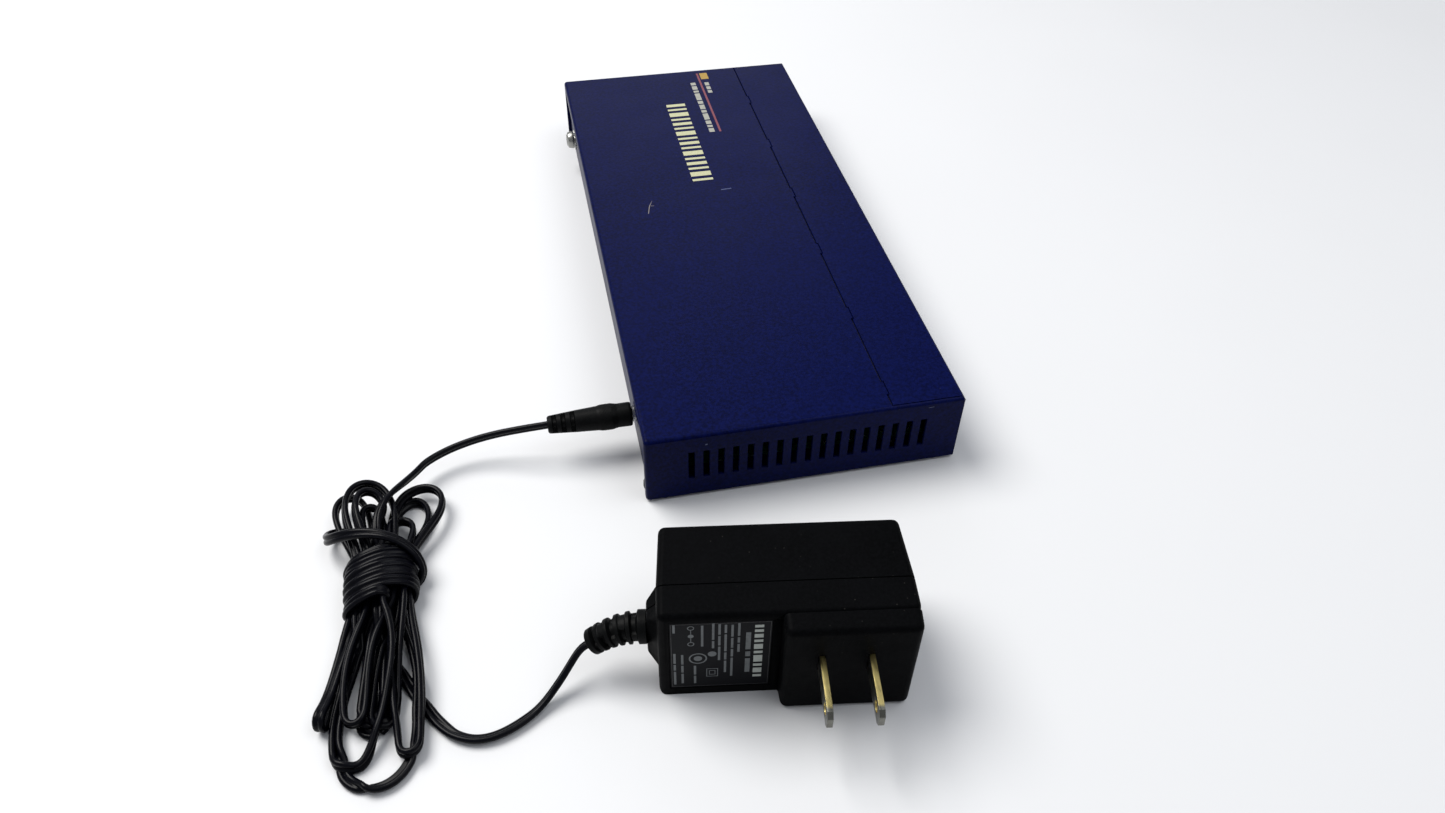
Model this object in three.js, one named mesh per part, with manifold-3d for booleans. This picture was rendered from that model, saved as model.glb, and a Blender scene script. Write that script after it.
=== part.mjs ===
// Desktop network switch in a sheet-metal case, with its power lead and wall adapter.
// Millimetres. +X points to the port side, +Y runs along the case, +Z is up.
// The origin is on the table under the middle of the switch.

import * as THREE from 'three';
import { mergeVertices } from 'three/addons/utils/BufferGeometryUtils.js';
import Module from 'manifold-3d';

const wasm = await Module();
wasm.setup();

// ---------------------------------------------------------------- driving dimensions

// Case: outer faces, sheet thickness, and the clearance kept between its two sheets.
const CASE = { rear: -50, front: 52.8, halfLength: 117.5, bottom: 1.2, top: 27, sheet: 1, gap: 0.3 };
const LIP = { drop: 2.5, side: 1.5 };
const FLANGE = { width: 8, bottom: 2.5 };
const SEAM = { x: 28.6, gap: 0.5, tabs: 6, firstTab: 85, tabPitch: 38.6, tabLength: 6, tabDepth: 0.7 };
const VENT = { count: 17, pitch: 4.7, width: 2, bottom: 8.4, top: 19.9, middle: 2.3 };
const FOOT = { radius: 5, xs: [-43.6, 46], y: 110.5 };
const CASE_SCREW = { xs: [-28, 32], y: 112, shank: 1.4, head: 2.6, length: 6 };

// Circuit board and what stands on it.
const BOARD = { rear: -46.5, front: 49.5, halfLength: 110, bottom: 6.2, thickness: 1.6 };
const PILLAR = { xs: [-40, 30], y: 104, radius: 3.1, bore: 1.3 };
const PCB_SCREW = { shank: 1, head: 2.7, headHeight: 1.7, length: 5 };
const SEAT = 0.15;

// Port blocks, each a row of sockets behind one window in the front panel.
const PORT = { pitch: 14, perBlock: 4, centres: [11.5, 70.5], face: 52.6, back: 38.9, top: 20.8 };
const SOCKET = { width: 11.9, bottom: 11.2, top: 18.6, latchWidth: 6.4, latchBottom: 9 };
const CONTACT = { count: 8, pitch: 1.02, thickness: 0.4, tip: 47, tipTop: 16.6, rootTop: 18.3 };
const SHIELD = { sheet: 0.4, clearance: 0.2 };

// Indicator lights: one for power, then one for each port.
const LIGHT = { ports: 8, power: -88, firstPort: -78, pitch: 5.2, z: 14, finger: 0.9, window: 1.25 };

// Rear sockets and the grounding screw.
const REAR_Z = 14.3;
const JACK = { y: -91, bore: 3.2, collar: 4.4, hole: 4.8, halfWidth: 4.5, top: 19.4, back: -34, boreEnd: -38.2 };
const JACK_PIN = { radius: 0.95, tip: -47.6, tail: -33.6 };
const GROUND = { y: 87, shank: 1.35, hole: 1.75, head: 3.7, tip: -53, seat: -50, shankEnd: -42.9 };
const WASHER = { inner: 1.75, root: 3.7, tooth: 4.4, teeth: 14, thickness: 0.7, back: -49 };

// Power lead: plug, flat cord, hank, strain relief.
const PLUG = { front: -50.3, tail: -77.5, sleeve: 2.75, wall: 0.45, sleeveTip: -40.7, bore: 1.35 };
const CORD = { width: 4, thickness: 2.2, lie: 1.2, steps: 20 };
const HANK = { head: [-131, -112], headRadius: 17, foot: [-133, -186], footRadius: 16, bottom: 0.1, top: 18 };

// Wall adapter, lying on its side. u runs along its parting line, v points away from the
// blades, z is up; the two shells meet at v = 0.
const ADAPTER = { at: [-55.7, -176.1], turn: -8.77, width: 67, height: 35.5, wall: 2, half: 0.1 };
const REAR_SHELL = { depth: 20.6, draft: 0.86 };
const FRONT_SHELL = { label: -10, block: -15.9, blockStart: 31.8, draft: 0.3 };
const BOSS = { out: 2.8, halfDepth: 6, halfHeight: 10, z: 17.7, chamfer: 2.8 };
const RELIEF = { root: [-4.4, 0, 17.7], tip: [-18.2, -0.9, 12.4], flange: 4.6, thick: 2.6, ribs: 6 };
const LABEL = { u: [3, 29.5], z: [3, 32.5], recess: 0.5, film: 0.25 };
const BLADE = { us: [41.65, 54.35], z: 21.5, tall: 6.35, thick: 1.5, reach: 17, inner: -9, hole: 1.6 };

// ---------------------------------------------------------------- geometry helpers

// A closed geometry as a solid: shared vertices merged, collapsed triangles dropped.
function toSolid(geometry) {
  const bare = geometry.clone();
  bare.deleteAttribute('normal');
  bare.deleteAttribute('uv');
  const welded = mergeVertices(bare, 1e-4);
  const index = welded.index.array;
  const kept = [];
  for (let i = 0; i < index.length; i += 3) {
    const [a, b, c] = [index[i], index[i + 1], index[i + 2]];
    if (a !== b && b !== c && c !== a) kept.push(a, b, c);
  }
  const vertProperties = new Float32Array(welded.attributes.position.array);
  return new wasm.Manifold(new wasm.Mesh({ numProp: 3, vertProperties, triVerts: new Uint32Array(kept) }));
}

function toGeometry(solid) {
  const mesh = solid.getMesh();
  const geometry = new THREE.BufferGeometry();
  geometry.setAttribute('position', new THREE.BufferAttribute(mesh.vertProperties, 3));
  geometry.setIndex(new THREE.BufferAttribute(mesh.triVerts, 1));
  geometry.computeVertexNormals();
  return geometry;
}

function cut(solid, ...tools) {
  return tools.reduce((left, tool) => left.subtract(tool), solid);
}

function join(...solids) {
  return solids.reduce((left, solid) => left.add(solid));
}

// A box between two values on each axis.
function block([x0, x1], [y0, y1], [z0, z1]) {
  const geometry = new THREE.BoxGeometry(x1 - x0, y1 - y0, z1 - z0);
  geometry.translate((x0 + x1) / 2, (y0 + y1) / 2, (z0 + z1) / 2);
  return toSolid(geometry);
}

// Turns a geometry made about the Y axis onto X or Z, then moves it.
function onAxis(geometry, axis, [x, y, z]) {
  if (axis === 'x') geometry.rotateZ(-Math.PI / 2);
  if (axis === 'z') geometry.rotateX(Math.PI / 2);
  geometry.translate(x, y, z);
  return geometry;
}

// A round or many-sided rod from one value to another along an axis; at is its line.
function rod(axis, from, to, at, radius, sides = 16) {
  const middle = (from + to) / 2;
  const centre = { x: [middle, ...at], y: [at[0], middle, at[1]], z: [...at, middle] }[axis];
  return toSolid(onAxis(new THREE.CylinderGeometry(radius, radius, to - from, sides), axis, centre));
}

// A turned shape: profile is a list of [radius, distance along the axis], starting and
// ending on the axis, with the distance rising.
function turned(axis, profile, at, sides = 20) {
  const points = profile.map(([radius, along]) => new THREE.Vector2(radius, along));
  const centre = { x: [0, ...at], z: [...at, 0] }[axis];
  return toSolid(onAxis(new THREE.LatheGeometry(points, sides), axis, centre));
}

// An outline in x and y, raised from z0 to z1.
function raised(outline, z0, z1) {
  const shape = new THREE.Shape(outline.map(([x, y]) => new THREE.Vector2(x, y)));
  const geometry = new THREE.ExtrudeGeometry(shape, { depth: z1 - z0, bevelEnabled: false });
  geometry.translate(0, 0, z0);
  return toSolid(geometry);
}

// An outline in two of the row axes, standing along y from y0 to y1; points are [x, z].
function raisedAlongY(outline, y0, y1) {
  const shape = new THREE.Shape(outline.map(([x, z]) => new THREE.Vector2(x, z)));
  const geometry = new THREE.ExtrudeGeometry(shape, { depth: y1 - y0, bevelEnabled: false });
  geometry.rotateX(Math.PI / 2);
  geometry.translate(0, y1, 0);
  return toSolid(geometry);
}

// A box whose sides and top draw in by draft at the end where y is largest (far) or smallest.
function draftedBox([x0, x1], [y0, y1], [z0, z1], draft, far = true) {
  const geometry = new THREE.BoxGeometry(1, 1, 1);
  const position = geometry.attributes.position;
  for (let i = 0; i < position.count; i += 1) {
    const atFar = position.getY(i) > 0;
    const inset = atFar === far ? draft : 0;
    const x = position.getX(i) > 0 ? x1 - inset : x0 + inset;
    const z = position.getZ(i) > 0 ? z1 - inset : z0;
    position.setXYZ(i, x, atFar ? y1 : y0, z);
  }
  return toSolid(geometry);
}

const model = new THREE.Group();
const materials = {
  paint: [0x181d4b, 0.5, 0.2],
  rubber: [0x17181a, 0.85, 0],
  plastic: [0x0e0e0f, 0.55, 0],
  board: [0x12492b, 0.45, 0.05],
  chip: [0x17181b, 0.5, 0.05],
  shield: [0xb9bcc0, 0.28, 0.9],
  steel: [0xc9ccd0, 0.22, 0.95],
  zinc: [0xa9acb0, 0.35, 0.85],
  gold: [0xc9a24a, 0.3, 0.9],
  brass: [0xc2a24f, 0.32, 0.85],
  aluminium: [0x9a9da3, 0.4, 0.85],
  can: [0x23283f, 0.35, 0.1],
  film: [0x1a1f52, 0.4, 0],
  clear: [0xe6ecec, 0.2, 0],
  sheet: [0x2a2b2c, 0.6, 0],
  cord: [0x121214, 0.4, 0],
};

// Adds one named mesh to a group, with its own material.
function piece(name, solid, finish, parent = model, at = [0, 0, 0]) {
  const [color, roughness, metalness] = materials[finish];
  const mesh = new THREE.Mesh(toGeometry(solid), new THREE.MeshStandardMaterial({ color, roughness, metalness }));
  mesh.name = name;
  mesh.position.set(...at);
  parent.add(mesh);
  return mesh;
}

// Adds copies of one solid at each point, named with a number.
function copies(name, solid, finish, points) {
  points.forEach((at, i) => piece(`${name}_${i + 1}`, solid, finish, model, at));
}

// The four points at two x values and plus or minus y.
function fourPoints(xs, y, z = 0) {
  return xs.flatMap((x) => [[x, -y, z], [x, y, z]]);
}

// ---------------------------------------------------------------- case

const innerHalf = CASE.halfLength - CASE.sheet - CASE.gap;
const rearPanel = CASE.rear + CASE.sheet + CASE.gap;
const floorTop = CASE.bottom + CASE.sheet;
const boardTop = BOARD.bottom + BOARD.thickness;
const blockHalf = (PORT.perBlock * PORT.pitch) / 2;
const shieldHalf = blockHalf + SHIELD.clearance + SHIELD.sheet;
const shieldTop = PORT.top + SHIELD.clearance + SHIELD.sheet;
const tabYs = Array.from({ length: SEAM.tabs }, (_, i) => SEAM.firstTab - i * SEAM.tabPitch);
const lightYs = [LIGHT.power];
for (let i = 0; i < LIGHT.ports; i += 1) lightYs.push(LIGHT.firstPort + i * LIGHT.pitch);

// Floor, rear panel, front panel and the front strip of the top, bent from one sheet.
function makeBaseChassis() {
  const span = [-innerHalf, innerHalf];
  const stripRear = SEAM.x + SEAM.gap;
  const notchFront = SEAM.x + SEAM.tabDepth + CASE.gap;
  const bent = join(
    block([rearPanel, CASE.front], span, [CASE.bottom, floorTop]),
    block([rearPanel, rearPanel + CASE.sheet], span, [CASE.bottom, CASE.top - CASE.sheet - CASE.gap]),
    block([CASE.front - CASE.sheet, CASE.front], span, [CASE.bottom, CASE.top]),
    block([stripRear, CASE.front], span, [CASE.top - CASE.sheet, CASE.top]),
  );
  const notches = tabYs.map((y) => block(
    [stripRear - 1, notchFront],
    [y - SEAM.tabLength / 2 - CASE.gap, y + SEAM.tabLength / 2 + CASE.gap],
    [CASE.top - 2 * CASE.sheet, CASE.top + 1],
  ));
  const windows = PORT.centres.map((y) => block(
    [CASE.front - 2, CASE.front + 1],
    [y - shieldHalf - CASE.gap, y + shieldHalf + CASE.gap],
    [boardTop - CASE.gap, shieldTop + CASE.gap],
  ));
  const lights = lightYs.map((y) => block(
    [CASE.front - 2, CASE.front + 1],
    [y - LIGHT.window, y + LIGHT.window],
    [LIGHT.z - LIGHT.window, LIGHT.z + LIGHT.window],
  ));
  const rearHoles = [
    rod('x', rearPanel - 1, rearPanel + 2, [JACK.y, REAR_Z], JACK.hole, 24),
    rod('x', rearPanel - 1, rearPanel + 2, [GROUND.y, REAR_Z], GROUND.hole),
  ];
  const sinks = fourPoints(CASE_SCREW.xs, CASE_SCREW.y).map(([x, y]) => turned('z', [
    [0, CASE.bottom - 1],
    [CASE_SCREW.head + CASE.gap + 1, CASE.bottom - 1],
    [CASE_SCREW.shank + CASE.gap, floorTop],
    [CASE_SCREW.shank + CASE.gap, floorTop + 1],
    [0, floorTop + 1],
  ], [x, y], 14));
  return cut(bent, ...notches, ...windows, ...lights, ...rearHoles, ...sinks);
}

// Rear three quarters of the top with both end walls, the lips that frame the rear
// panel, and the inward flanges at the bottom that take the case screws.
function makeTopCover() {
  const length = [-CASE.halfLength, CASE.halfLength];
  const roof = block([CASE.rear, SEAM.x], length, [CASE.top - CASE.sheet, CASE.top]);
  const lip = block([CASE.rear, CASE.rear + CASE.sheet], length, [CASE.top - LIP.drop - CASE.sheet, CASE.top]);
  const tabs = tabYs.map((y) => block(
    [SEAM.x - 1, SEAM.x + SEAM.tabDepth],
    [y - SEAM.tabLength / 2, y + SEAM.tabLength / 2],
    [CASE.top - CASE.sheet, CASE.top],
  ));
  const ends = [-1, 1].flatMap((side) => {
    const band = (inset) => [side * CASE.halfLength, side * (CASE.halfLength - inset)].sort((a, b) => a - b);
    return [
      block([CASE.rear, CASE.front], band(CASE.sheet), [CASE.bottom, CASE.top]),
      block([CASE.rear, CASE.rear + CASE.sheet], band(CASE.sheet + LIP.side), [CASE.bottom, CASE.top]),
      block(
        [rearPanel + CASE.sheet + 1, CASE.front - CASE.sheet - 1],
        band(CASE.sheet + FLANGE.width),
        [FLANGE.bottom, FLANGE.bottom + CASE.sheet],
      ),
    ];
  });
  const firstVent = VENT.middle - ((VENT.count - 1) / 2) * VENT.pitch;
  const vents = Array.from({ length: VENT.count }, (_, i) => {
    const x = firstVent + i * VENT.pitch;
    return block(
      [x - VENT.width / 2, x + VENT.width / 2],
      [-CASE.halfLength - 1, CASE.halfLength + 1],
      [VENT.bottom, VENT.top],
    );
  });
  const screwHoles = fourPoints(CASE_SCREW.xs, CASE_SCREW.y).map(([x, y]) => rod(
    'z', FLANGE.bottom - 1, FLANGE.bottom + 2, [x, y], CASE_SCREW.shank + CASE.gap, 12,
  ));
  return cut(join(roof, lip, ...tabs, ...ends), ...vents, ...screwHoles);
}

// Flat-headed screw that comes up through the floor into the cover's flange.
function makeCaseScrew() {
  const head = CASE_SCREW.head - CASE_SCREW.shank;
  const slotDepth = 0.7;
  const screw = turned('z', [
    [0, 0],
    [CASE_SCREW.head, 0],
    [CASE_SCREW.shank, head],
    [CASE_SCREW.shank, CASE_SCREW.length - 0.5],
    [CASE_SCREW.shank - 0.5, CASE_SCREW.length],
    [0, CASE_SCREW.length],
  ], [0, 0], 14);
  return cut(
    screw,
    block([-1.6, 1.6], [-0.3, 0.3], [-1, slotDepth]),
    block([-0.3, 0.3], [-1.6, 1.6], [-1, slotDepth]),
  );
}

piece('base_chassis', makeBaseChassis(), 'paint');
piece('top_cover', makeTopCover(), 'paint');
copies('rubber_foot', rod('z', 0, CASE.bottom - 0.05, [0, 0], FOOT.radius, 20), 'rubber', fourPoints(FOOT.xs, FOOT.y));
copies('case_screw', makeCaseScrew(), 'zinc', fourPoints(CASE_SCREW.xs, CASE_SCREW.y, CASE.bottom + 0.1));

// Rating label under the floor, between the feet.
piece('bottom_label', block([-24, 24], [-42, 42], [CASE.bottom - 0.2, CASE.bottom - 0.05]), 'film');

// Printed film on the front panel, open around the port blocks.
function makeFrontOverlay() {
  const film = block([CASE.front + 0.05, CASE.front + 0.2], [-106, 106], [4, 24.2]);
  const windows = PORT.centres.map((y) => block(
    [CASE.front - 1, CASE.front + 1],
    [y - shieldHalf - 2 * CASE.gap, y + shieldHalf + 2 * CASE.gap],
    [boardTop - 2 * CASE.gap, shieldTop + 2 * CASE.gap],
  ));
  return cut(film, ...windows);
}

piece('front_overlay', makeFrontOverlay(), 'film');

// ---------------------------------------------------------------- circuit board

const pillarPoints = fourPoints(PILLAR.xs, PILLAR.y);

function makeInsulationSheet() {
  const sheet = block([-45, 48], [-106, 106], [floorTop + 0.1, floorTop + 0.35]);
  const holes = pillarPoints.map(([x, y]) => rod(
    'z', floorTop - 1, floorTop + 2, [x, y], PILLAR.radius + 0.8, 12,
  ));
  return cut(sheet, ...holes);
}

function makeBoard() {
  const span = [BOARD.bottom, boardTop];
  const board = block([BOARD.rear, BOARD.front], [-BOARD.halfLength, BOARD.halfLength], span);
  const holes = pillarPoints.map(([x, y]) => rod(
    'z', BOARD.bottom - 1, boardTop + 1, [x, y], PCB_SCREW.shank + 0.5, 12,
  ));
  return cut(board, ...holes);
}

function makePillar() {
  const span = [floorTop + 0.05, BOARD.bottom - 0.05];
  return cut(
    rod('z', ...span, [0, 0], PILLAR.radius, 6),
    rod('z', 0, BOARD.bottom + 1, [0, 0], PILLAR.bore, 12),
  );
}

function makeBoardScrew() {
  const seat = boardTop + 0.05;
  const screw = turned('z', [
    [0, seat - PCB_SCREW.length],
    [PCB_SCREW.shank, seat - PCB_SCREW.length],
    [PCB_SCREW.shank, seat],
    [PCB_SCREW.head, seat],
    [PCB_SCREW.head, seat + PCB_SCREW.headHeight * 0.5],
    [PCB_SCREW.head * 0.6, seat + PCB_SCREW.headHeight],
    [0, seat + PCB_SCREW.headHeight],
  ], [0, 0], 14);
  const slot = [seat + PCB_SCREW.headHeight - 0.8, seat + 3];
  return cut(screw, block([-1.5, 1.5], [-0.3, 0.3], slot), block([-0.3, 0.3], [-1.5, 1.5], slot));
}

piece('insulation_sheet', makeInsulationSheet(), 'sheet');
piece('main_circuit_board', makeBoard(), 'board');
copies('board_standoff', makePillar(), 'brass', pillarPoints);
copies('board_screw', makeBoardScrew(), 'zinc', pillarPoints);

// A component body standing on the board: middle, footprint and height.
function onBoard([x, y], [width, length], height, lift = SEAT) {
  const base = boardTop + lift;
  return block([x - width / 2, x + width / 2], [y - length / 2, y + length / 2], [base, base + height]);
}

// Finned heat sink on top of the switch chip.
function makeHeatSink([x, y], chipTop) {
  const size = 30;
  const fins = 7;
  const finThickness = 1.4;
  const base = block([x - size / 2, x + size / 2], [y - size / 2, y + size / 2], [chipTop, chipTop + 2]);
  const step = (size - finThickness) / (fins - 1);
  const upright = Array.from({ length: fins }, (_, i) => {
    const left = y - size / 2 + i * step;
    return block([x - size / 2, x + size / 2], [left, left + finThickness], [chipTop + 1, chipTop + 9]);
  });
  return join(base, ...upright);
}

const chipAt = [4, 24];
const chipHeight = 3.4;
piece('switch_chip', onBoard(chipAt, [28, 28], chipHeight), 'chip');
piece('heat_sink', makeHeatSink(chipAt, boardTop + SEAT + chipHeight + 0.1), 'aluminium');

// Isolation transformers, one module behind each block of ports.
PORT.centres.forEach((centre, i) => {
  piece(`port_magnetics_${i + 1}`, onBoard([28, centre], [10, 30], 5.6), 'chip');
});

piece('clock_crystal', onBoard([6, 50], [11, 4.6], 3.6), 'shield');
piece('power_inductor', rod('z', boardTop + SEAT, boardTop + 6, [-14, -82], 5.6, 16), 'chip');
piece('voltage_regulator', onBoard([-18, -62], [10, 9], 4.4), 'chip');
copies('filter_capacitor', rod('z', boardTop + SEAT, boardTop + 11.5, [0, 0], 4, 16), 'can', [
  [-30, -76, 0],
  [-30, -65, 0],
]);

// ---------------------------------------------------------------- ports

// Sheet-metal shell over a block of sockets, open at the front and underneath.
function makePortShield(centre) {
  const outer = block([36.2, 52.4], [centre - shieldHalf, centre + shieldHalf], [boardTop + SEAT, shieldTop]);
  const inner = shieldHalf - SHIELD.sheet;
  return cut(outer, block([36.6, 60], [centre - inner, centre + inner], [0, shieldTop - SHIELD.sheet]));
}

// The middles of the sockets in a block.
function socketYs(centre) {
  return Array.from({ length: PORT.perBlock }, (_, i) => centre + (i - (PORT.perBlock - 1) / 2) * PORT.pitch);
}

// Moulded block with sockets right through it, each with a latch keyway at the bottom.
function makePortHousing(centre) {
  const half = blockHalf;
  const body = block([PORT.back, PORT.face], [centre - half, centre + half], [boardTop + SEAT, PORT.top]);
  const through = [PORT.back - 1, PORT.face + 1];
  const sockets = socketYs(centre).flatMap((y) => [
    block(through, [y - SOCKET.width / 2, y + SOCKET.width / 2], [SOCKET.bottom, SOCKET.top]),
    block(through, [y - SOCKET.latchWidth / 2, y + SOCKET.latchWidth / 2], [SOCKET.latchBottom, SOCKET.bottom + 1]),
  ]);
  return cut(body, ...sockets);
}

// Carrier that closes the back of a block and holds the contact springs of its sockets.
function makeContactCarrier(centre) {
  const front = PORT.back - 0.2;
  const half = blockHalf - 0.2;
  const carrier = block([front - 1.8, front], [centre - half, centre + half], [boardTop + SEAT, PORT.top - 0.2]);
  const outline = [
    [front - 0.4, CONTACT.rootTop - CONTACT.thickness],
    [CONTACT.tip, CONTACT.tipTop - CONTACT.thickness],
    [CONTACT.tip, CONTACT.tipTop],
    [front - 0.4, CONTACT.rootTop],
  ];
  const springs = socketYs(centre).flatMap((y) => Array.from({ length: CONTACT.count }, (_, i) => {
    const middle = y + (i - (CONTACT.count - 1) / 2) * CONTACT.pitch;
    return raisedAlongY(outline, middle - CONTACT.thickness / 2, middle + CONTACT.thickness / 2);
  }));
  return join(carrier, ...springs);
}

PORT.centres.forEach((centre, i) => {
  piece(`port_shield_${i + 1}`, makePortShield(centre), 'shield');
  piece(`port_housing_${i + 1}`, makePortHousing(centre), 'plastic');
  piece(`port_contacts_${i + 1}`, makeContactCarrier(centre), 'gold');
});

// Clear moulding that carries light from the board to the front panel.
function makeLightPipe() {
  const ends = [LIGHT.power - 2, lightYs[lightYs.length - 1] + 2];
  const bar = block([44, 46], ends, [LIGHT.z - 1.5, LIGHT.z + 1.5]);
  const legs = ends.map((y, i) => {
    const inward = i === 0 ? 2 : -2;
    return block([44, 46], [y, y + inward].sort((a, b) => a - b), [boardTop + SEAT, LIGHT.z]);
  });
  const fingers = lightYs.map((y) => block(
    [45, CASE.front - 0.3],
    [y - LIGHT.finger, y + LIGHT.finger],
    [LIGHT.z - LIGHT.finger, LIGHT.z + LIGHT.finger],
  ));
  return join(bar, ...legs, ...fingers);
}

piece('indicator_light_pipe', makeLightPipe(), 'clear');

// ---------------------------------------------------------------- power socket, ground screw

function makeJackHousing() {
  const bodyFront = rearPanel + CASE.sheet + CASE.gap;
  const body = block([bodyFront, JACK.back], [JACK.y - JACK.halfWidth, JACK.y + JACK.halfWidth], [boardTop + SEAT, JACK.top]);
  const collar = rod('x', rearPanel, bodyFront + 1, [JACK.y, REAR_Z], JACK.collar, 24);
  return cut(
    join(body, collar),
    rod('x', rearPanel - 1, JACK.boreEnd, [JACK.y, REAR_Z], JACK.bore, 24),
    rod('x', JACK.boreEnd - 1, JACK.back + 1, [JACK.y, REAR_Z], JACK_PIN.radius + 0.3, 12),
    block([-46, -39], [JACK.y - 1.6, JACK.y + 1.6], [9.4, REAR_Z]),
  );
}

piece('power_socket_housing', makeJackHousing(), 'plastic');
piece('power_socket_pin', join(
  rod('x', JACK_PIN.tip, JACK_PIN.tail, [JACK.y, REAR_Z], JACK_PIN.radius, 12),
  rod('x', JACK.back + 0.3, JACK_PIN.tail + 0.3, [JACK.y, REAR_Z], 2, 12),
), 'steel');
piece('power_socket_spring', block([-45.6, -39.4], [JACK.y - 1.2, JACK.y + 1.2], [10.9, 11.25]), 'steel');

// Pan-headed screw with a cross recess; its head points to -X.
function makeGroundScrew() {
  const neck = GROUND.seat - 0.6;
  const screw = turned('x', [
    [0, GROUND.tip],
    [GROUND.head * 0.55, GROUND.tip],
    [GROUND.head * 0.9, GROUND.tip + 0.7],
    [GROUND.head, neck - 0.4],
    [GROUND.head, GROUND.seat],
    [GROUND.shank, GROUND.seat],
    [GROUND.shank, GROUND.shankEnd - 0.6],
    [GROUND.shank - 0.5, GROUND.shankEnd],
    [0, GROUND.shankEnd],
  ], [GROUND.y, REAR_Z], 20);
  const recess = [GROUND.tip - 1, GROUND.tip + 1.5];
  const [y, z] = [GROUND.y, REAR_Z];
  return cut(
    screw,
    block(recess, [y - 2, y + 2], [z - 0.4, z + 0.4]),
    block(recess, [y - 0.4, y + 0.4], [z - 2, z + 2]),
  );
}

// Lock washer with teeth around its rim, held under the screw's head.
function makeGroundWasher() {
  const outline = Array.from({ length: WASHER.teeth * 2 }, (_, i) => {
    const angle = (i * Math.PI) / WASHER.teeth;
    const radius = i % 2 ? WASHER.root : WASHER.tooth;
    return [radius * Math.cos(angle), radius * Math.sin(angle)];
  });
  const flat = cut(raised(outline, 0, WASHER.thickness), rod('z', -1, WASHER.thickness + 1, [0, 0], WASHER.inner));
  const geometry = toGeometry(flat);
  geometry.rotateY(-Math.PI / 2);
  geometry.translate(WASHER.back, GROUND.y, REAR_Z);
  return toSolid(geometry);
}

const nutFront = rearPanel + CASE.sheet + 0.05;
piece('ground_screw', makeGroundScrew(), 'steel');
piece('ground_washer', makeGroundWasher(), 'zinc');
piece('ground_nut', cut(
  rod('x', nutFront, nutFront + 2.4, [GROUND.y, REAR_Z], 3.4, 6),
  rod('x', nutFront - 1, nutFront + 4, [GROUND.y, REAR_Z], GROUND.hole),
), 'zinc');

// ---------------------------------------------------------------- power lead

// Moulded grip, tapering to the cord, with three grooves above and below near its tail.
function makePlugGrip() {
  const length = PLUG.front - PLUG.tail;
  const grip = turned('x', [
    [0, PLUG.tail],
    [2.6, PLUG.tail],
    [3.15, PLUG.tail + 0.8],
    [3.6, PLUG.tail + length * 0.35],
    [4.1, PLUG.tail + length * 0.58],
    [4.7, PLUG.tail + length * 0.66],
    [4.7, PLUG.tail + length * 0.74],
    [4.2, PLUG.tail + length * 0.82],
    [4.3, PLUG.front - 0.4],
    [3.9, PLUG.front],
    [0, PLUG.front],
  ], [JACK.y, REAR_Z], 20);
  const grooves = [2.2, 5.2, 8.4].flatMap((along) => [-1, 1].map((side) => {
    const x = PLUG.tail + along;
    const depths = [REAR_Z + side * 1.5, REAR_Z + side * 6].sort((a, b) => a - b);
    return block([x - 0.65, x + 0.65], [JACK.y - 2.6, JACK.y + 2.6], depths);
  }));
  return cut(grip, ...grooves);
}

const plugLine = [JACK.y, REAR_Z];
const sleeveBase = PLUG.front + 0.3;
const sleeveBore = PLUG.sleeve - PLUG.wall;
piece('plug_grip', makePlugGrip(), 'plastic');
piece('plug_sleeve', cut(
  rod('x', sleeveBase, PLUG.sleeveTip, plugLine, PLUG.sleeve, 20),
  rod('x', sleeveBase - 1, PLUG.sleeveTip + 1, plugLine, sleeveBore, 20),
), 'steel');
piece('plug_insulator', cut(
  rod('x', sleeveBase, PLUG.sleeveTip + 0.2, plugLine, sleeveBore - 0.1, 16),
  rod('x', sleeveBase + 1, PLUG.sleeveTip + 1, plugLine, PLUG.bore, 12),
), 'plastic');

// Flat cord along a route, with an eight-sided section. The section's first direction is
// level where the route starts downhill, and upright where it starts along the table.
function makeCord(route, widthFirst) {
  const curve = new THREE.CatmullRomCurve3(route.map((point) => new THREE.Vector3(...point)), false, 'centripetal');
  const [a, b] = [CORD.width / 2, CORD.thickness / 2];
  const corner = b * 0.55;
  const flat = [[a, -corner], [a, corner], [a - corner, b], [-a + corner, b]];
  const section = [...flat, ...flat.map(([x, y]) => [-x, -y])];
  const points = section.map(([x, y]) => (widthFirst ? new THREE.Vector2(x, y) : new THREE.Vector2(y, x)));
  const geometry = new THREE.ExtrudeGeometry(new THREE.Shape(points), {
    steps: CORD.steps,
    bevelEnabled: false,
    extrudePath: curve,
  });
  return toSolid(geometry);
}

// From the plug's tail, sinking to the head of the hank.
const plugSideRoute = [
  [PLUG.tail - 0.3, JACK.y, REAR_Z],
  [-84, -90.4, 13.5],
  [-94, -88.6, 11],
  [-102.4, -88, 8.8],
  [-110.7, -89.4, 7.2],
  [-117.2, -93, 6.8],
  [-121.3, -97.2, 7],
];

// From the side of the hank, along the table, up to the strain relief's tip.
const adapterSideRoute = [
  [-115.4, -184.8, CORD.lie],
  [-111.8, -187.6, CORD.lie],
  [-107.2, -190, CORD.lie],
  [-102.6, -190.4, CORD.lie],
  [-97.8, -189.2, CORD.lie],
  [-93, -186.9, CORD.lie],
  [-88.6, -184, 1.9],
  [-84.9, -181, 3.7],
  [-81.8, -178.5, 6],
  [-79, -176.3, 8.7],
  [-76.4, -174.5, 11.1],
  [-74.3, -174.1, 12.2],
];

piece('cord_plug_side', makeCord(plugSideRoute, true), 'cord');
piece('cord_adapter_side', makeCord(adapterSideRoute, false), 'cord');

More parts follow.
